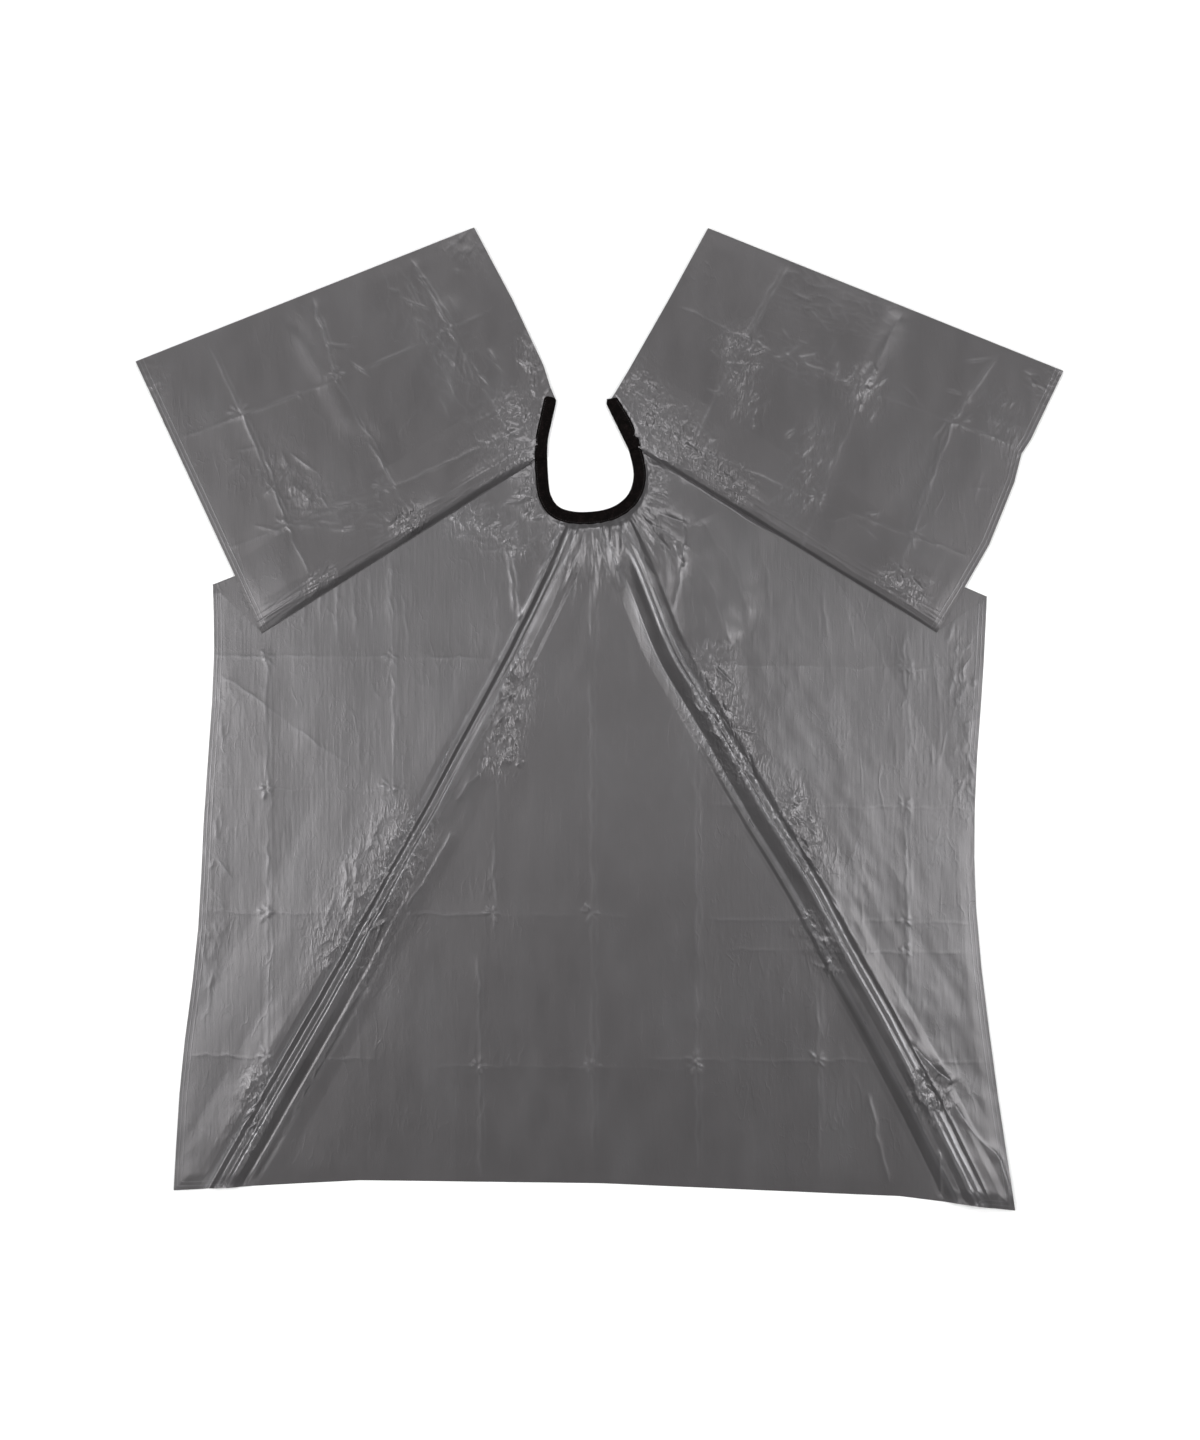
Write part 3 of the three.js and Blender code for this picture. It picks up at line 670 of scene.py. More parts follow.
def shape_front(film, covers):
    """The relief of the front panel; it stays low where a folded shoulder lies on it."""
    x, y = film.points.T
    left, right = crest_of(-1), crest_of(1)
    film.undulate(11, 1.6, 0.12, 90)
    # Loose film beside the raised folds, drawn up and down the cape; its streaks also lighten the colour
    # there as a painted sheen
    outside = np.maximum(beyond(film.points, left, -1), beyond(film.points, right, 1))
    film.streak = smooth(0, 40, outside) * 0.75
    drawn = crinkle(film.points, 90, 150, 17, 21) * smooth(-0.2, 0.5, noise(x / 90, y / 160, 22))
    film.height += smooth(0, 60, outside) * 0.10 * drawn
    packing_grid(film)
    for seed, (line, height, width, mark, broad, spread) in enumerate(FRONT_CREASES, 201):
        film.crease(line, height, width, seed, mark, broad, spread)
    for seed, line in enumerate(FRONT_SIDE_CREASES, 220):
        film.crease(line, 0.9, 2.2, seed, 0.4, broad=0.9, spread=14)
    for k in range(9):  # streaks that hang from the folded left shoulder
        top = (-488 + 24 * k, 250 - 4 * k)
        film.crease([top, (top[0] - 8 + 2 * k, 110 + 9 * (k % 4))], 0.3, 1.8, 230 + k, 0.4, ends=0.3)
    for k in range(8):  # and from the folded right shoulder
        top = (205 + 42 * k, 262 - 22 * k)
        film.crease([top, (top[0] + 14, top[1] - 80 - 12 * (k % 3))], 0.3, 2.0, 250 + k, 0.35, ends=0.3)
    for seed, (line, reach, height, grain, degrees) in enumerate(FRONT_CRUMPLES, 301):
        film.crumple(line, reach, 0.13 * height, CRUMPLE_GRAIN * grain, degrees, seed)
        film.bundle(line, reach, degrees, FRONT_BUNDLE, seed + 40, 0.40 * height, 1.9 * grain)
    for seed, (centre, size, height, arms) in enumerate(FRONT_STARS, 330):
        film.star(centre, size, height, seed, arms)
    raised_fold(film, left, LEFT_FOLD, -1, 401)
    raised_fold(film, right, RIGHT_FOLD, 1, 402)
    gathers(film, 403)
    ease_rim(film)
    climb(film, [fold_line(f"{name}_pleat_fold", film.outline) for name in SIDES])
    ceiling = np.full(len(film.points), np.inf)
    for outline in covers:
        clear = np.where(inside(film.points, outline), 0, distance_to(film.points, closed(outline)))
        ceiling = np.minimum(ceiling, COVER_HEIGHT + COVER_SLOPE * clear)
    film.height = np.minimum(film.height, ceiling - film.base)
    hemmed(film, [(-640, 100), (-575, 205), (-640, -720)], [(575, 190), (640, -735)])


def beyond(points, line, side):
    """How far points lie outside a line that runs down the cape, 0 or less inside."""
    distance = distance_to(points, line)
    edge = np.interp(points[:, 1], line[::-1, 1], line[::-1, 0])
    return np.where((points[:, 0] - edge) * side > 0, distance, -distance)


def ease_rim(film):
    """Relief dies away towards the free edges, but not quite."""
    distance = distance_to(film.points, closed(film.outline))
    film.height *= 0.65 + 0.35 * smooth(0, EDGE_EASE, distance)


def under_band(height, band_distance):
    """Keeps the relief out of the neckband and below its top where the film comes out of it."""
    clear = smooth(BAND_OUTER - NECK_TUCK, BAND_OUTER, band_distance)
    limit = NECK_LIMIT + NECK_SLOPE * np.clip(band_distance - BAND_OUTER, 0, None)
    return limit * np.tanh(height / limit) * clear


def neck_rise(band_distance):
    """Climb of the film into the neckband."""
    return NECK_RISE * (1 - smooth(BAND_OUTER, NECK_FOOT, band_distance))


def climb(film, folds):
    """Raises the front panel into the neckband, and keeps it level along the folds."""
    band_distance = distance_to(film.points, FRONT_BAND)
    rise = neck_rise(band_distance)
    for fold in folds:
        distance = distance_to(film.points, fold)
        rise *= smooth(*FOLD_CLEAR, distance)
        film.height *= smooth(0, FOLD_EASE, distance)
    film.base += rise
    film.height = under_band(film.height, band_distance)


def hemmed(film, *sides):
    """Marks the distance to the long free edges, which carry the lines of a folded hem."""
    for side in sides:
        box_low, box_high = np.min(side, 0) - 8, np.max(side, 0) + 8
        for a, b in zip(film.outline, np.roll(film.outline, -1, 0)):
            middle = (a + b) / 2
            if (middle > box_low).all() and (middle < box_high).all():
                film.edge = np.minimum(film.edge, distance_to(film.points, [a, b]))


# -------------------- the back panels

# Packing creases of a back panel: their places from the outer end of the far edge, and down from it.
BACK_COLUMNS = (112, 270, 445)
BACK_ROWS = (132, 312)
COLUMN_BENDS = {  # how far each column strays at its top, middle and lower end, by side
    -1: [(0, 8, 10), (12, 0, 22), (-6, 14, 40)],
    1: [(-14, 14, 6), (-14, -2, -4), (-6, 14, 30)],
}
BACK_SEEDS = {-1: 500, 1: 600}
WANDERING_CREASES = 16


def back_frame(film, side, fold):
    """The outer end of a back panel's far edge, the direction along that edge and the one down from it."""
    loop = film.outline
    spread = loop[np.argmax((loop - NECK_CENTRE) @ np.array([side, 0.25]))]
    slit = loop[np.argmax(loop[:, 1] - side * 0.2 * loop[:, 0])]
    along = (slit - spread) / np.hypot(*(slit - spread))
    down = upright(along)
    return spread, along, down if (fold[1] - spread) @ down > 0 else -down


# Distance from a back panel's fold line and height of its rolled edge, mm, by side
ROLLED_EDGE = {
    -1: [(0, 0), (1, 1.0), (6, 7.6), (8.5, 9.2), (11, 9.6), (14, 9.2), (40, 6.0), (110, 0)],
    1: [(0, 0), (1, 1.2), (4, 5.4), (6, 6.4), (9, 6.9), (13, 6.6), (40, 4.2), (110, 0)],
}


def shape_back(film, side, band, fold):
    """The relief of a back panel: it only rises, because the pleat lies under it."""
    origin, along, down = back_frame(film, side, fold)
    tilt = math.degrees(math.atan2(down[1], down[0]))

    def place(run, drop):
        return origin + along * run + down * drop

    seed = BACK_SEEDS[side]
    film.undulate(seed, 1.6, 0.12, tilt)
    # A faint painted sheen over the whole back panel, with its streaks.
    film.streak[:] = 0.05
    depth = float(((film.outline - origin) @ down).max())
    width = float(((film.outline - origin) @ along).max())
    for k, (run, (top, middle, low)) in enumerate(zip(BACK_COLUMNS, COLUMN_BENDS[side])):
        route = [place(run + top, 8), place(run + middle, 0.3 * depth), place(run + low, 0.72 * depth)]
        if k < 2:
            route.append(place(run + 1.3 * low, 0.93 * depth))
        film.crease(route, 0.5, 1.5, seed + 10 + k, 0.6, broad=0.3, spread=12, ends=0.05)
        shifted = [p + along * 6 for p in route[:-1]]
        film.crease(shifted, 0.3, 1.4, seed + 20 + k, 0.4, ends=0.2)
    for k, drop in enumerate(BACK_ROWS):
        film.crease([place(20, drop), place(0.55 * width, drop + 6), place(width - 40, drop - 6)],
                    0.4, 1.6, seed + 30 + k, 0.3, broad=0.12, ends=0.06)
        for run in BACK_COLUMNS:
            film.star(place(run + 4, drop - 4), 22, 0.6, seed + 40 + run + k, 8)
    random = np.random.default_rng(seed)
    for k in range(WANDERING_CREASES):
        start = place(random.uniform(0.08, 0.85) * width, random.uniform(0.1, 0.85) * depth)
        ahead = heading(tilt + random.choice([0, 90]) + random.uniform(-35, 35))
        reach = random.uniform(25, 70)
        film.crease([start, start + reach * ahead], 0.4, 1.6, seed + 60 + k, 0.4, ends=0.4)
    for k, (line, reach, height, grain, degrees) in enumerate(BACK_ZONES[side]):
        film.crumple(line, reach, 0.15 * height, CRUMPLE_GRAIN * grain, degrees, seed + 80 + 3 * k)
        film.bundle(line, reach, degrees, BACK_BUNDLE, seed + 130 + 40 * k, 0.36 * height, 2.2 * grain)
    for line, reach, height in BACK_SWELLS[side]:
        film.swell(line, reach, height)
    distance, _, share = along_line(film.points, fold)
    uneven = 0.85 + 0.25 * noise(share * 7, np.full(len(share), 0.5), seed + 98)
    thick = (0.9 if side < 0 else 1.0) * uneven
    thick *= (0.35 + 0.65 * smooth(0, 0.14, share)) * (1 - 0.5 * smooth(0.85, 1, share))
    film.height += thick * np.interp(distance, *np.array(ROLLED_EDGE[side], float).T)
    fold_angle = math.degrees(math.atan2(*(fold[1] - fold[0])[::-1]))
    pulled = crinkle(film.points, fold_angle, 120, 9, seed + 99)
    film.height += pulled * bell(distance, 24) * smooth(6, 14, distance)
    near_neck = bell(sizes(film.points - fold[0]), 80)
    # A painted sheen near the neck, with the streaks there.
    film.streak = np.maximum(film.streak, near_neck)
    film.crush = np.maximum(film.crush, near_neck)
    ease_rim(film)
    band_distance = distance_to(film.points, band)
    film.base += neck_rise(band_distance) * smooth(*FOLD_CLEAR, distance)
    film.height = under_band(film.height, band_distance) * smooth(0, 1.5, distance)
    hemmed(film, [fold[1], origin])


LEFT_BACK_ZONES = [  # line, reach, height, grain, direction
    ([(-128, 468), (-112, 400)], 30, 4.0, 15, 205),
    ([(-110, 560), (-92, 490)], 20, 2.4, 16, 100),
    ([(-285, 300), (-262, 282)], 24, 3.0, 15, 60),
    ([(-427, 193), (-400, 215)], 24, 1.8, 16, 40),
    ([(-205, 722), (-190, 700)], 34, 1.2, 14, 60),
    ([(-690, 530), (-670, 500)], 30, 1.0, 14, 20),
    ([(-450, 320), (-310, 300)], 34, 1.0, 20, 0),
    ([(-230, 560), (-180, 480)], 46, 1.2, 24, 120),
    ([(-300, 640), (-240, 600)], 40, 0.8, 22, 120),
    ([(-490, 370), (-430, 330)], 30, 1.4, 18, 80),
]
LEFT_BACK_SWELLS = [  # line, reach, height
    ([(-470, 612), (-422, 535), (-359, 417)], 17, 3.0),
    ([(-400, 560), (-360, 480), (-317, 414)], 15, 2.0),
    ([(-230, 640), (-190, 560), (-150, 500)], 18, 1.8),
    ([(-106, 566), (-82, 488)], 8, 3.0),
]
RIGHT_BACK_ZONES = [
    ([(50, 500), (90, 440), (130, 405)], 36, 4.6, 15, 145),
    ([(140, 400), (170, 372), (210, 350)], 26, 2.6, 14, 150),
    ([(203, 560), (222, 478)], 34, 2.2, 18, 60),
    ([(391, 500), (398, 480)], 34, 2.0, 18, 60),
    ([(330, 430), (300, 330)], 34, 1.6, 20, 60),
    ([(467, 195), (440, 215)], 24, 2.6, 15, 160),
    ([(600, 470), (636, 392)], 30, 1.6, 15, 70),
    ([(250, 560), (330, 520)], 30, 1.0, 18, 160),
    ([(680, 520), (660, 500)], 24, 1.0, 14, 150),
    ([(300, 640), (420, 600)], 44, 0.8, 20, 160),
]
RIGHT_BACK_SWELLS = [
    ([(458, 618), (416, 549), (391, 493)], 15, 3.2),
    ([(640, 530), (656, 456), (640, 400)], 12, 2.8),
    ([(232, 568), (206, 500), (175, 440)], 15, 2.6),
    ([(100, 400), (170, 380), (258, 300)], 12, 2.6),
]
BACK_ZONES = {-1: LEFT_BACK_ZONES, 1: RIGHT_BACK_ZONES}
BACK_SWELLS = {-1: LEFT_BACK_SWELLS, 1: RIGHT_BACK_SWELLS}


def shape_pleat(film, folds):
    """The narrow panel between the layers stays almost flat."""
    film.undulate(700, 0.3, 0.15, 0)
    # A painted sheen over the whole pleat panel, with its streaks.
    film.streak[:] = 0.4
    for fold in folds:
        film.ease(fold, FOLD_EASE)


def fold_strip(name, line, low, high, outwards):
    """The rounded edge between two layers, a half round strip along a fold line."""
    stations = resampled(line, 6.0)
    turns = np.linspace(-math.pi / 2, math.pi / 2, 9)
    radius = (high - low) / 2
    points = [
        (*(spot + outwards * radius * math.cos(turn)), low + radius + radius * math.sin(turn))
        for spot in stations for turn in turns
    ]
    count = len(turns)
    faces = [
        (s * count + k, s * count + k + 1, (s + 1) * count + k + 1, (s + 1) * count + k)
        for s in range(len(stations) - 1) for k in range(count - 1)
    ]
    return made(name, points, faces)


# -------------------- the neckband

BAND_SIDES = 56  # points round the folded tape
BAND_CLEAR = 0.05  # underside of the tape above the level it lies on
BAND_END = 1.2  # length over which an end of the tape closes
SQUARE_END = 1.5  # length over which a square end draws in
BAND_DEPTH = 2.9  # thickness of the folded tape
BAND_CORNER = 6.0  # rounded corners of the left end
BAND_LAP = 3.0  # how far each arm runs past its pivot, over the end of the front length
LAP_END = 7.0  # where the ends that lie on each other are full depth again
LAP_STEP = 1.75  # depth taken off a lap, so that the two lie on each other when the shoulder is unfolded
LAP_EASE = 1.5  # length over which a lap comes to its depth
LAP_NAP = 0.75  # share of the pile's tufts that a lap is without
PILE_TALL, LUMPS_TALL = 0.28, 0.22  # height of the tufts and of the broad lumps in the pile


def band_length(name, line, level, lap_high, free_end):
    """One length of pile tape along a line, with a thin lap over or under the next one at its pivots."""
    run = run_along(line)
    directions = np.gradient(line, axis=0)
    directions /= sizes(directions)[:, None]
    normals = np.column_stack([directions[:, 1], -directions[:, 0]])
    middle = line[len(line) // 2]
    if (middle - NECK_CENTRE) @ normals[len(line) // 2] < 0:
        normals = -normals
    angles = np.linspace(0, 2 * math.pi, BAND_SIDES, endpoint=False)
    across = np.sign(np.cos(angles)) * np.abs(np.cos(angles)) ** 0.42
    upward = np.sign(np.sin(angles)) * np.abs(np.sin(angles)) ** 0.62
    half = BAND_WIDTH / 2
    points, nap = [], []
    for k, (spot, normal) in enumerate(zip(line, normals)):
        wide, low, high = half, level + BAND_CLEAR, level + BAND_DEPTH
        thinned = 1.0
        for distance, kind in ((run[k], "lap"), (run[-1] - run[k], free_end)):
            if kind == "lap":
                lap = float(1 - smooth(LAP_END, LAP_END + LAP_EASE, distance))
                low, high = (low + LAP_STEP * lap, high) if lap_high else (low, high - LAP_STEP * lap)
                thinned = min(thinned, 1 - LAP_NAP * lap)
            if kind == "round" and distance < BAND_CORNER:
                wide = half - BAND_CORNER + math.sqrt(BAND_CORNER**2 - (BAND_CORNER - distance) ** 2)
            if kind == "square" and distance < SQUARE_END:
                wide = half - 0.6 * (SQUARE_END - distance)
            if distance < BAND_END:
                closing = math.sqrt(max(0.0, 1 - (1 - distance / BAND_END) ** 2))
                centre = (low + high) / 2
                low, high = centre + (low - centre) * closing, centre + (high - centre) * closing
        for a, u in zip(across, upward):
            pinch = 0.7 * math.exp(-((u / 0.3) ** 2)) if a > 0.9 else 0.0
            side = spot + normal * (a * wide - pinch)
            points.append((*side, (low + high) / 2 + u * (high - low) / 2))
        nap.append(thinned)
    points = np.array(points)
    centres = np.repeat(line, BAND_SIDES, 0)
    outward = np.column_stack([points[:, :2] - centres, np.zeros(len(points))])
    outward[:, :2] /= 2.2 * half
    outward[:, 2] = np.tile(upward, len(line))
    tufts = noise(points[:, 0] / 2.1, points[:, 1] / 2.1 + points[:, 2], 811)
    tufts += 0.7 * noise(points[:, 0] / 1.1 + points[:, 2], points[:, 1] / 1.1, 812)
    lumps = noise(points[:, 0] / 13, points[:, 1] / 13, 813)
    rise = (PILE_TALL * tufts + LUMPS_TALL * lumps - 0.1) * np.repeat(nap, BAND_SIDES)
    points += outward * rise[:, None]
    points[:, 2] = np.maximum(points[:, 2], level)
    faces = ring_faces(0, len(line), BAND_SIDES)
    faces.append(tuple(range(BAND_SIDES)))
    faces.append(tuple(range(len(points) - 1, len(points) - BAND_SIDES - 1, -1)))
    return made(name, points, faces)


def band_stretch(part):
    """The neckband's middle line over one length, carried on past the pivots it stops at."""
    left, right = (np.argmin(sizes(WHOLE_BAND - pivot_of(f"{side}_pleat_fold"))) for side in SIDES)
    lap = round(BAND_LAP)
    return {
        "front": WHOLE_BAND[left : right + 1],
        "left": WHOLE_BAND[: left + lap + 1][::-1],
        "right": WHOLE_BAND[right - lap :],
    }[part]


STITCH_PITCH, STITCH_LENGTH, STITCH_RADIUS = 3.6, 2.5, 0.3
STITCH_SIDES = 8
STITCH_SWELL = [0.15, 0.75, 1.0, 0.75, 0.15]  # share of the full radius at each ring along a stitch
STITCH_LIFT = 0.12  # rise of a stitch's middle out of the pile


def stitches(name, seam_node, top):
    """The seam's thread as a row of single stitches sunk in the pile."""
    line, _ = middle_line(seam_node, end="shortest")
    run = run_along(line)
    last = len(STITCH_SWELL) - 1

    def at(distance):
        return np.array([np.interp(distance, run, line[:, k]) for k in (0, 1)])

    points, faces = [], []
    for start in np.arange(0, run[-1] - STITCH_LENGTH, STITCH_PITCH):
        base = len(points)
        for k, size in enumerate(STITCH_SWELL):
            reached = start + STITCH_LENGTH * k / last
            spot = at(reached)
            ahead = at(reached + 0.5) - spot
            normal = upright(ahead / max(1e-6, float(np.hypot(*ahead))))
            for side in range(STITCH_SIDES):
                angle = side * 2 * math.pi / STITCH_SIDES
                off = normal * math.cos(angle) * STITCH_RADIUS * size
                height = top + STITCH_LIFT * size + math.sin(angle) * STITCH_RADIUS * size
                points.append((*(spot + off), height))
        faces += ring_faces(base, len(STITCH_SWELL), STITCH_SIDES, turned_over=True)
        faces.append(tuple(range(base + STITCH_SIDES - 1, base - 1, -1)))
        faces.append(tuple(range(base + STITCH_SIDES * last, base + STITCH_SIDES * (last + 1))))
    return made(name, points, faces)


HOOK_PITCH = 1.5
HOOK_SIDES = 6
HOOK_CLEAR = 0.8  # least distance of a hook from the plate's edge


def hook_plate(name, node):
    """The fastener under the left end: a thin plate with rows of short hooks that point down."""
    outline = top_loop(node)
    bottom, top = (corner[2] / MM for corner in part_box(node))
    sheet = (bottom + top) / 2
    count = len(outline)
    points = [(*p, sheet) for p in outline] + [(*p, top) for p in outline]
    faces = [(k, (k + 1) % count, count + (k + 1) % count, count + k) for k in range(count)]
    faces += [tuple(range(count - 1, -1, -1)), tuple(range(count, 2 * count))]
    low, high = outline.min(0), outline.max(0)
    grid = np.meshgrid(*[np.arange(low[k] + 1, high[k], HOOK_PITCH) for k in (0, 1)])
    spots = np.stack(grid, -1).reshape(-1, 2)
    spots = spots[inside(spots, outline) & (distance_to(spots, closed(outline)) > HOOK_CLEAR)]
    rings = ((sheet, 0.16, 0.0), (bottom + 0.15, 0.14, 0.12), (bottom + 0.02, 0.24, 0.3))
    for spot in spots:
        base = len(points)
        for level, radius, lean in rings:
            for side in range(HOOK_SIDES):
                angle = side * 2 * math.pi / HOOK_SIDES
                x = spot[0] + lean + radius * math.cos(angle)
                points.append((x, spot[1] + radius * math.sin(angle), level))
        faces += ring_faces(base, len(rings), HOOK_SIDES)
        faces.append(tuple(range(len(points) - 1, len(points) - HOOK_SIDES - 1, -1)))
        faces.append(tuple(range(base, base + HOOK_SIDES)))
    return made(name, points, faces)


# -------------------- materials


class Nodes:
    """Short calls for a material's node tree."""

    def __init__(self, name):
        self.material = bpy.data.materials.new(name)
        self.material.use_nodes = True
        self.tree = self.material.node_tree
        self.shader = self.tree.nodes["Principled BSDF"]

    def add(self, kind, **values):
        node = self.tree.nodes.new(kind)
        for key, value in values.items():
            if key in node.inputs:
                node.inputs[key].default_value = value
            else:
                setattr(node, key, value)
        return node

    def link(self, source, target):
        self.tree.links.new(source, target)

    def math(self, operation, *values):
        node = self.add("ShaderNodeMath", operation=operation)
        for slot, value in enumerate(values):
            if isinstance(value, (int, float)):
                node.inputs[slot].default_value = value
            else:
                self.link(value, node.inputs[slot])
        return node.outputs[0]

    def peak(self, value, at, steep):
        """1 where a value is `at`, falling away on both sides."""
        away = self.math("ABSOLUTE", self.math("SUBTRACT", value, at))
        return self.math("SUBTRACT", 1, self.math("MULTIPLY", away, steep))

    def patchy_lines(self, size, stretch, turn, lean, sharp, patch, limit):
        """Sharp crests in patches. `patch`: the patches' size, the value they start at and their gain."""
        crest = self.peak(self.spots(size, (1, stretch, 1), turn + lean, 2.0), 0.5, sharp)
        wide, start, gain = patch
        cover = self.math("SUBTRACT", self.spots(wide * size, (1, 1, 1), lean, 2.0), start)
        cover = self.math("MAXIMUM", self.math("MULTIPLY", cover, gain), 0.0)
        return self.math("MULTIPLY", self.math("MAXIMUM", crest, 0.0), self.math("MINIMUM", cover, limit))

    def spots(self, size, stretch=(1, 1, 1), turn=0.0, detail=3.0, rough=0.55):
        """Noise in the object's own space: size of a spot in mm, then its stretch and turn."""
        place = self.add("ShaderNodeTexCoord")
        spread = self.add("ShaderNodeMapping")
        spread.inputs["Rotation"].default_value = (0, 0, -turn)
        spread.inputs["Scale"].default_value = tuple(1 / s for s in stretch)
        self.link(place.outputs["Object"], spread.inputs["Vector"])
        texture = self.add("ShaderNodeTexNoise", Scale=1 / (size * MM), Detail=detail, Roughness=rough)
        self.link(spread.outputs[0], texture.inputs["Vector"])
        return texture.outputs["Fac"]

    def attribute(self, name):
        return self.add("ShaderNodeAttribute", attribute_name=name).outputs["Fac"]

    def ramp(self, fac, stops):
        node = self.add("ShaderNodeValToRGB")
        band = node.color_ramp
        while len(band.elements) < len(stops):
            band.elements.new(0.5)
        for element, (at, colour) in zip(band.elements, stops):
            element.position = at
            element.color = (*colour, 1)
        self.link(fac, node.inputs[0])
        return node.outputs[0]

    def bump(self, height, distance, under=None, strength=1.0):
        node = self.add("ShaderNodeBump", Strength=strength, Distance=distance * MM)
        self.link(height, node.inputs["Height"])
        if under is not None:
            self.link(under, node.inputs["Normal"])
        return node.outputs[0]


FILM_TONES = [
    (0.25, (0.071, 0.067, 0.069)), (0.55, (0.079, 0.075, 0.0775)), (0.8, (0.087, 0.084, 0.087)),
]
# Colour of the paler lines: whitened creases and hem lines, and painted highlights and sheen.
PALE_LINES_AND_SHEEN = (0.24, 0.24, 0.25, 1)
HEM_LINES = (5.5, 11.5)  # distance of the two lines of the hem from the edge, mm
# Lines in the film's bump: size in mm, stretch, lean in radians, height in mm
SMALL_CRUMPLES = ((12.0, 3.2, 0.5, 0.65), (7.0, 2.6, -0.8, 0.35))
FINE_LINES = ((26.0, 2.6, 0.25, 0.09), (15.0, 1.6, -0.9, 0.06), (48.0, 3.5, 0.0, 0.10))


def film_material(name, turn):
    """Satin plastic film, its fine streaks turned to run along the panel. Its colour carries painted
    highlights along creases and crests and a painted sheen where the streaks are.
    """
    n = Nodes(name)
    mark, streak, crush, edge = (n.attribute(key) for key in FILM_MARKS)
    tone = n.ramp(n.spots(95, (1, 1.8, 1), turn, 4.0), FILM_TONES)
    hem = n.math("MAXIMUM", n.math("MAXIMUM", *(n.peak(edge, at, 0.9) for at in HEM_LINES)), 0.0)
    # Creases and crests are lightened (whitening and painted highlight), hem lines too, and the streaks add
    # a painted sheen.
    pale = n.math("ADD", n.math("MULTIPLY", mark, 0.20), n.math("MULTIPLY", hem, 0.16))
    pale = n.math("MINIMUM", pale, 0.6)
    pale = n.math("ADD", pale, n.math("MULTIPLY", streak, 0.12))
    mix = n.add("ShaderNodeMix", data_type="RGBA")
    n.link(pale, mix.inputs["Factor"])
    n.link(tone, mix.inputs["A"])
    mix.inputs["B"].default_value = PALE_LINES_AND_SHEEN
    n.link(mix.outputs["Result"], n.shader.inputs["Base Color"])
    grain = n.spots(1.1, (1, 1.5, 1), turn, 2.0)
    streaks = n.spots(5.0, (1, 16, 1), turn, 3.0)
    wisps = n.spots(16.0, (1, 5, 1), turn + 0.3, 4.0, 0.6)
    deep = n.math("ADD", n.math("MULTIPLY", streak, 0.85), 0.15)
    normal = n.bump(grain, 0.030)
    normal = n.bump(n.math("MULTIPLY", streaks, deep), 0.24, normal)
    normal = n.bump(wisps, 0.28, normal)
    for size, stretch, lean, tall in SMALL_CRUMPLES:
        line = n.patchy_lines(size, stretch, turn, lean, 9, (2.4, 0.40, 5), crush)
        normal = n.bump(line, tall, normal)
    for size, stretch, lean, tall in FINE_LINES:
        line = n.patchy_lines(size, stretch, turn, lean, 26, (3.1, 0.48, 6), 1.0)
        normal = n.bump(line, tall, normal)
    normal = n.bump(hem, 0.10, normal)
    n.link(normal, n.shader.inputs["Normal"])
    dull = n.math("ADD", 0.28, n.math("MULTIPLY", n.spots(30, (1, 3, 1), turn), 0.12))
    n.link(n.math("SUBTRACT", dull, n.math("MULTIPLY", mark, 0.05)), n.shader.inputs["Roughness"])
    n.shader.inputs["IOR"].default_value = 1.5
    n.shader.inputs["Specular IOR Level"].default_value = 0.6
    n.shader.inputs["Metallic"].default_value = 0.55
    return n.material


PILE_TINT_SHADE_AND_SHEEN = [
    (0.40, (0.0008, 0.0006, 0.0006)), (0.54, (0.0030, 0.0020, 0.0019)), (0.70, (0.014, 0.0095, 0.0095)),
]
THREAD_TONES = [(0.3, (0.008, 0.007, 0.007)), (0.7, (0.024, 0.021, 0.022))]
HOOK_TONES = [(0.3, (0.006, 0.006, 0.007)), (0.7, (0.014, 0.014, 0.015))]


def pile_material():
    """Black looped pile with brown and violet tints; its colour is lighter on the tops of the tufts and
    darker between them, a painted sheen and painted shade.
    """
    n = Nodes("pile_tape")
    tufts = n.spots(1.6, (1, 1, 1), 0.0, 3.0, 0.7)
    patches = n.spots(7.0, (1, 1, 1), 0.0, 3.0)
    depth = n.math("ADD", n.math("MULTIPLY", tufts, 0.65), n.math("MULTIPLY", patches, 0.35))
    # Higher tufts get a lighter colour and the hollows a darker one: painted sheen and painted shade.
    n.link(n.ramp(depth, PILE_TINT_SHADE_AND_SHEEN), n.shader.inputs["Base Color"])
    n.shader.inputs["Roughness"].default_value = 0.92
    n.shader.inputs["Sheen Weight"].default_value = 0.01
    n.shader.inputs["Sheen Roughness"].default_value = 0.5
    n.shader.inputs["Specular IOR Level"].default_value = 0.06
    normal = n.bump(n.spots(0.7, (1, 1, 1), 0.0, 2.0, 0.7), 0.35)
    n.link(n.bump(tufts, 0.6, normal), n.shader.inputs["Normal"])
    return n.material


def thread_material():
    """Dark thread with a slight twist."""
    n = Nodes("seam_thread")
    twist = n.spots(0.5, (1, 1, 1), 0.7, 1.0)
    n.link(n.ramp(twist, THREAD_TONES), n.shader.inputs["Base Color"])
    n.shader.inputs["Roughness"].default_value = 0.55
    n.link(n.bump(twist, 0.1), n.shader.inputs["Normal"])
    return n.material


def hook_material():
    """Black moulded nylon."""
    n = Nodes("hook_tape")
    speck = n.spots(2.0, (1, 1, 1), 0.0, 3.0)
    n.link(n.ramp(speck, HOOK_TONES), n.shader.inputs["Base Color"])
    n.shader.inputs["Roughness"].default_value = 0.45
    n.link(n.bump(n.spots(0.8), 0.05), n.shader.inputs["Normal"])
    return n.material


def plain_material(name, colour, roughness):
    n = Nodes(name)
    n.shader.inputs["Base Color"].default_value = (*colour, 1)
    n.shader.inputs["Roughness"].default_value = roughness
    n.shader.inputs["Specular IOR Level"].default_value = 0.0
    return n.material


def wear(piece, material):
    piece.data.materials.clear()
    piece.data.materials.append(material)


# -------------------- stage, light, camera

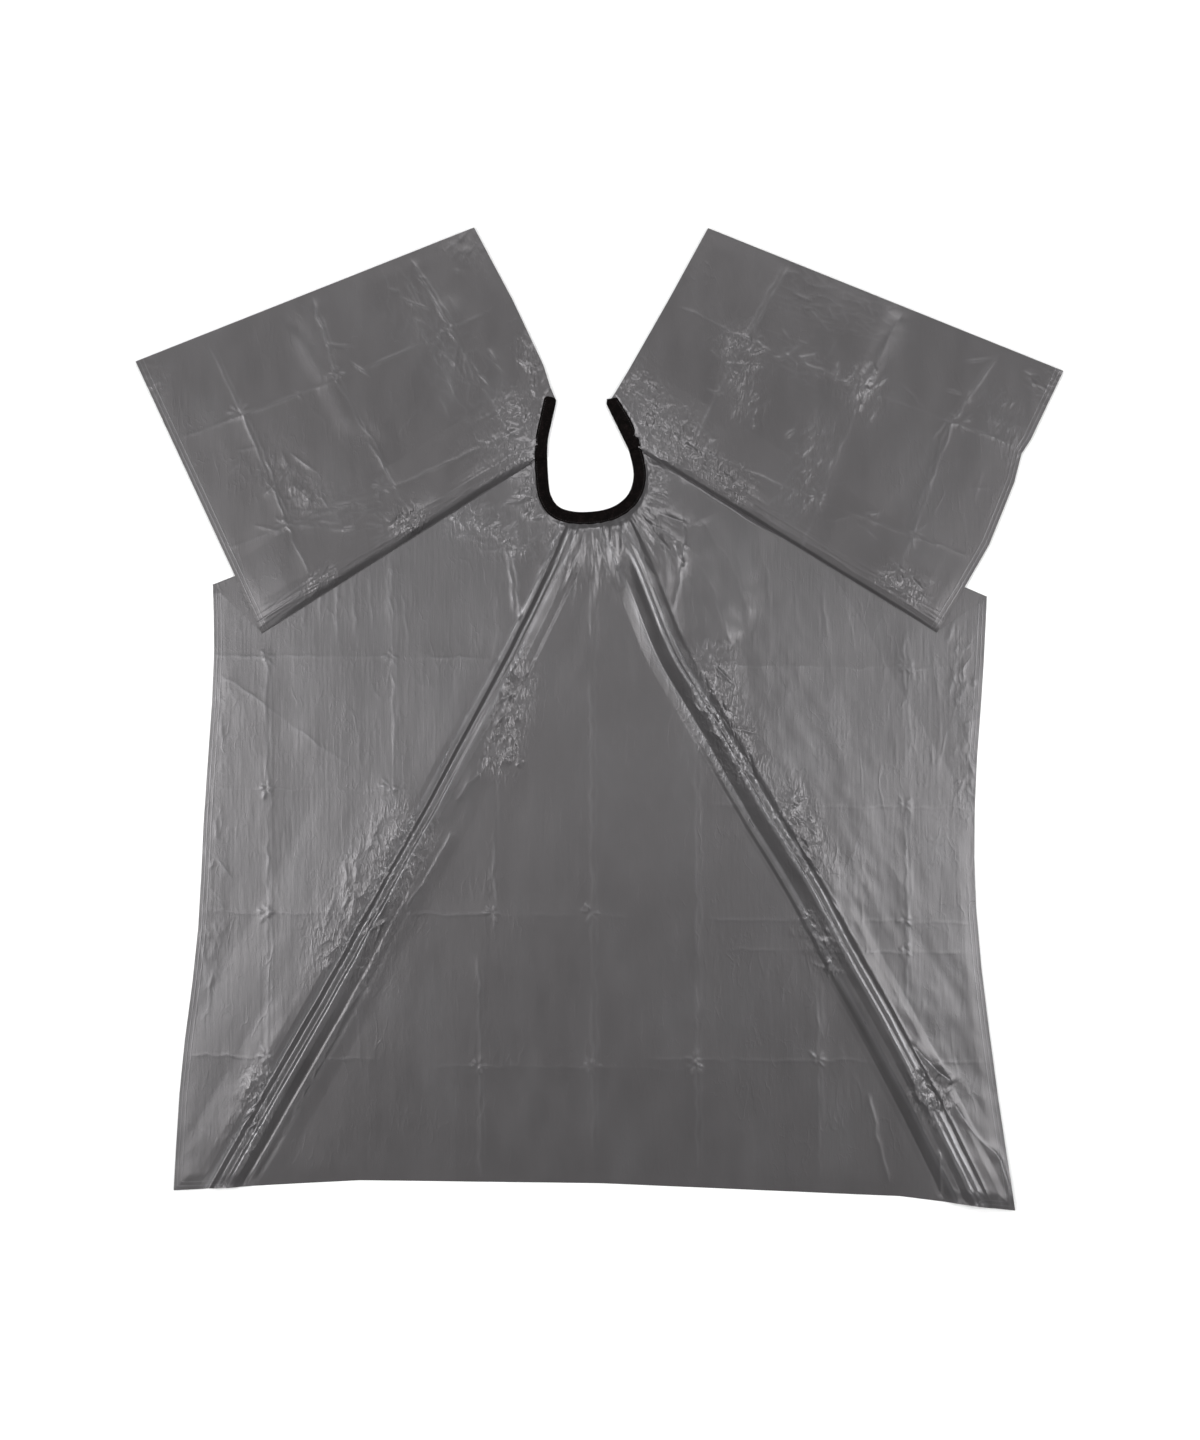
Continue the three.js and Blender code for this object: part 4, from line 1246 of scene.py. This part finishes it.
CAMERA_HEIGHT = 5.1  # metres
CAMERA_LENS = 85.0
CAMERA_SENSOR = 36.0
CAMERA_SHIFT = (0.00075, -0.0015)  # from the middle of the cape, metres
FLOOR_REACH, FLOOR_LEVEL = 9000, -0.5  # mm
ROOM_LIGHT = 0.18


def stage():
    corners = ((-1, -1), (1, -1), (1, 1), (-1, 1))
    points = [(x * FLOOR_REACH, y * FLOOR_REACH, FLOOR_LEVEL) for x, y in corners]
    floor = made("stage_floor", points, [(0, 1, 2, 3)])
    floor.data.materials.append(plain_material("stage_white", (0.92, 0.92, 0.92), 0.9))


def softbox(name, place, target, size, power):
    """A soft light in metres, aimed at a point."""
    data = bpy.data.lights.new(name, "AREA")
    data.shape = "RECTANGLE"
    data.size, data.size_y = size
    data.energy = power
    lamp = bpy.data.objects.new(name, data)
    lamp.location = place
    lamp.rotation_euler = (Vector(target) - Vector(place)).to_track_quat("-Z", "Y").to_euler()
    bpy.context.scene.collection.objects.link(lamp)


def light():
    for name, side_power, upper_power in (("left", 50, 13), ("right", 45, 8)):
        side = SIDES[name]
        low, high = (side * 1.95, -0.2, 2.5), (side * 1.35, 0.0, 3.4)
        softbox(f"{name}_light", low, (side * 0.15, -0.1, 0.0), (0.9, 2.2), side_power)
        softbox(f"{name}_upper_light", high, (side * 0.3, 0.0, 0.0), (0.7, 2.6), upper_power)
    softbox("back_light", (0.0, 2.0, 2.9), (0.0, 0.3, 0.0), (2.8, 0.8), 48)
    softbox("front_light", (0.0, -2.5, 3.0), (0.0, 0.0, 0.0), (1.8, 1.2), 19)
    world = bpy.data.worlds.new("studio")
    bpy.context.scene.world = world
    world.use_nodes = True
    background = world.node_tree.nodes["Background"]
    background.inputs[0].default_value = (1, 1, 1, 1)
    background.inputs[1].default_value = ROOM_LIGHT
    bpy.context.scene.view_settings.view_transform = "Standard"


def camera():
    low, high = (Vector(corner) for corner in cad_bounds)
    data = bpy.data.cameras.new("camera")
    data.lens, data.sensor_width = CAMERA_LENS, CAMERA_SENSOR
    data.clip_end = 60
    seen = bpy.data.objects.new("camera", data)
    across, up = CAMERA_SHIFT
    seen.location = ((low.x + high.x) / 2 + across, (low.y + high.y) / 2 + up, CAMERA_HEIGHT)
    bpy.context.scene.collection.objects.link(seen)
    bpy.context.scene.camera = seen


# -------------------- assembly


def place_piece(piece, body, node, material):
    """Puts a piece on its body, in place of a CAD node and in its material."""
    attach(piece, body)
    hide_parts(node)
    wear(piece, material)


def build_front(materials, covers):
    """The front panel and its length of the neckband."""
    rows = [(fold_path(crest_of(side)), *FOLD_ROWS[side], side) for side in SIDES.values()]
    film = Film("front_panel", LEVELS["front"], rows)
    shape_front(film, covers)
    panel = film.mesh(*FRONT_RANGE)
    band = band_length("neckband_front_pile", band_stretch("front"), LEVELS["front"], False, "lap")
    seam = stitches("neckband_front_seam", "neckband_front_stitching", LEVELS["front"] + BAND_DEPTH)
    place_piece(panel, "front", "front_panel", film_material("film_front", 0.0))
    place_piece(band, "front", "neckband_front", materials["pile"])
    place_piece(seam, "front", "neckband_front_stitching", materials["thread"])
    return panel, film.outline


def build_strip(name, line, levels, upwards, material):
    """The rounded film along one fold line, where the film turns from one layer to the next."""
    direction = (line[1] - line[0]) / np.hypot(*(line[1] - line[0]))
    outwards = upright(direction)
    if (outwards[1] < 0) == upwards:
        outwards = -outwards
    low, high = (LEVELS[level] + FILM_MIDDLE for level in levels)
    start = line[0] + direction * FOLD_EASE
    strip = fold_strip(name, np.array([start, line[1]]), low, high, outwards)
    # The strip is made evenly paler in colour: a painted highlight and sheen along the rounded edge.
    for key in FILM_MARKS:
        give(strip, key, np.full(len(strip.data.vertices), FAR if key == "edge" else 0.3))
    wear(strip, material)
    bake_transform(strip)
    return strip


def build_shoulder(name, side, materials, front_outline):
    """One side's pleat panel, back panel, fold strips and arm of the neckband."""
    pleat_body, back_body = f"{name}_pleat", f"{name}_back"
    pleat = Film(f"{name}_pleat_panel", LEVELS["pleat"])
    shoulder = fold_line(f"{name}_pleat_fold", front_outline)
    fold = fold_line(f"{name}_back_fold", pleat.outline)
    turn = math.atan2(*(fold[1] - fold[0])[::-1])
    film = film_material(f"film_{name}_back", turn)
    shape_pleat(pleat, [shoulder, fold])
    pleat_panel = pleat.mesh(*PLEAT_RANGE)

    back = Film(f"{name}_back_panel", LEVELS["back"], [(fold, *BACK_ROWS_REACH, 1)])
    shape_back(back, side, ARM_BANDS[name], fold)
    back_panel = back.mesh(*BACK_RANGE)
    arm = band_length(f"neckband_{name}_arm_pile", band_stretch(name), LEVELS["back"],
                      True, "round" if side < 0 else "square")
    seam = stitches(f"neckband_{name}_seam", f"neckband_{name}_stitching", LEVELS["back"] + BAND_DEPTH)
    strips = [
        build_strip(f"{name}_shoulder_fold_strip", shoulder,
                    ("front", "pleat"), True, film),
        build_strip(f"{name}_back_fold_strip", fold,
                    ("pleat", "back"), False, film),
    ]
    place_piece(pleat_panel, pleat_body, f"{name}_pleat_panel", film)
    place_piece(back_panel, back_body, f"{name}_back_panel", film)
    place_piece(arm, back_body, f"neckband_{name}_arm", materials["pile"])
    place_piece(seam, back_body, f"neckband_{name}_stitching", materials["thread"])
    if name == "left":
        plate = hook_plate("hook_fastener_plate", "hook_fastener")
        place_piece(plate, back_body, "hook_fastener", materials["hook"])


def build():
    camera()
    materials = {"pile": pile_material(), "thread": thread_material(), "hook": hook_material()}
    covers = [top_loop(f"{name}_{part}_panel") for name in SIDES for part in ("pleat", "back")]
    front_panel, front_outline = build_front(materials, covers)
    for name, side in SIDES.items():
        build_shoulder(name, side, materials, front_outline)
    stage()
    light()


build()
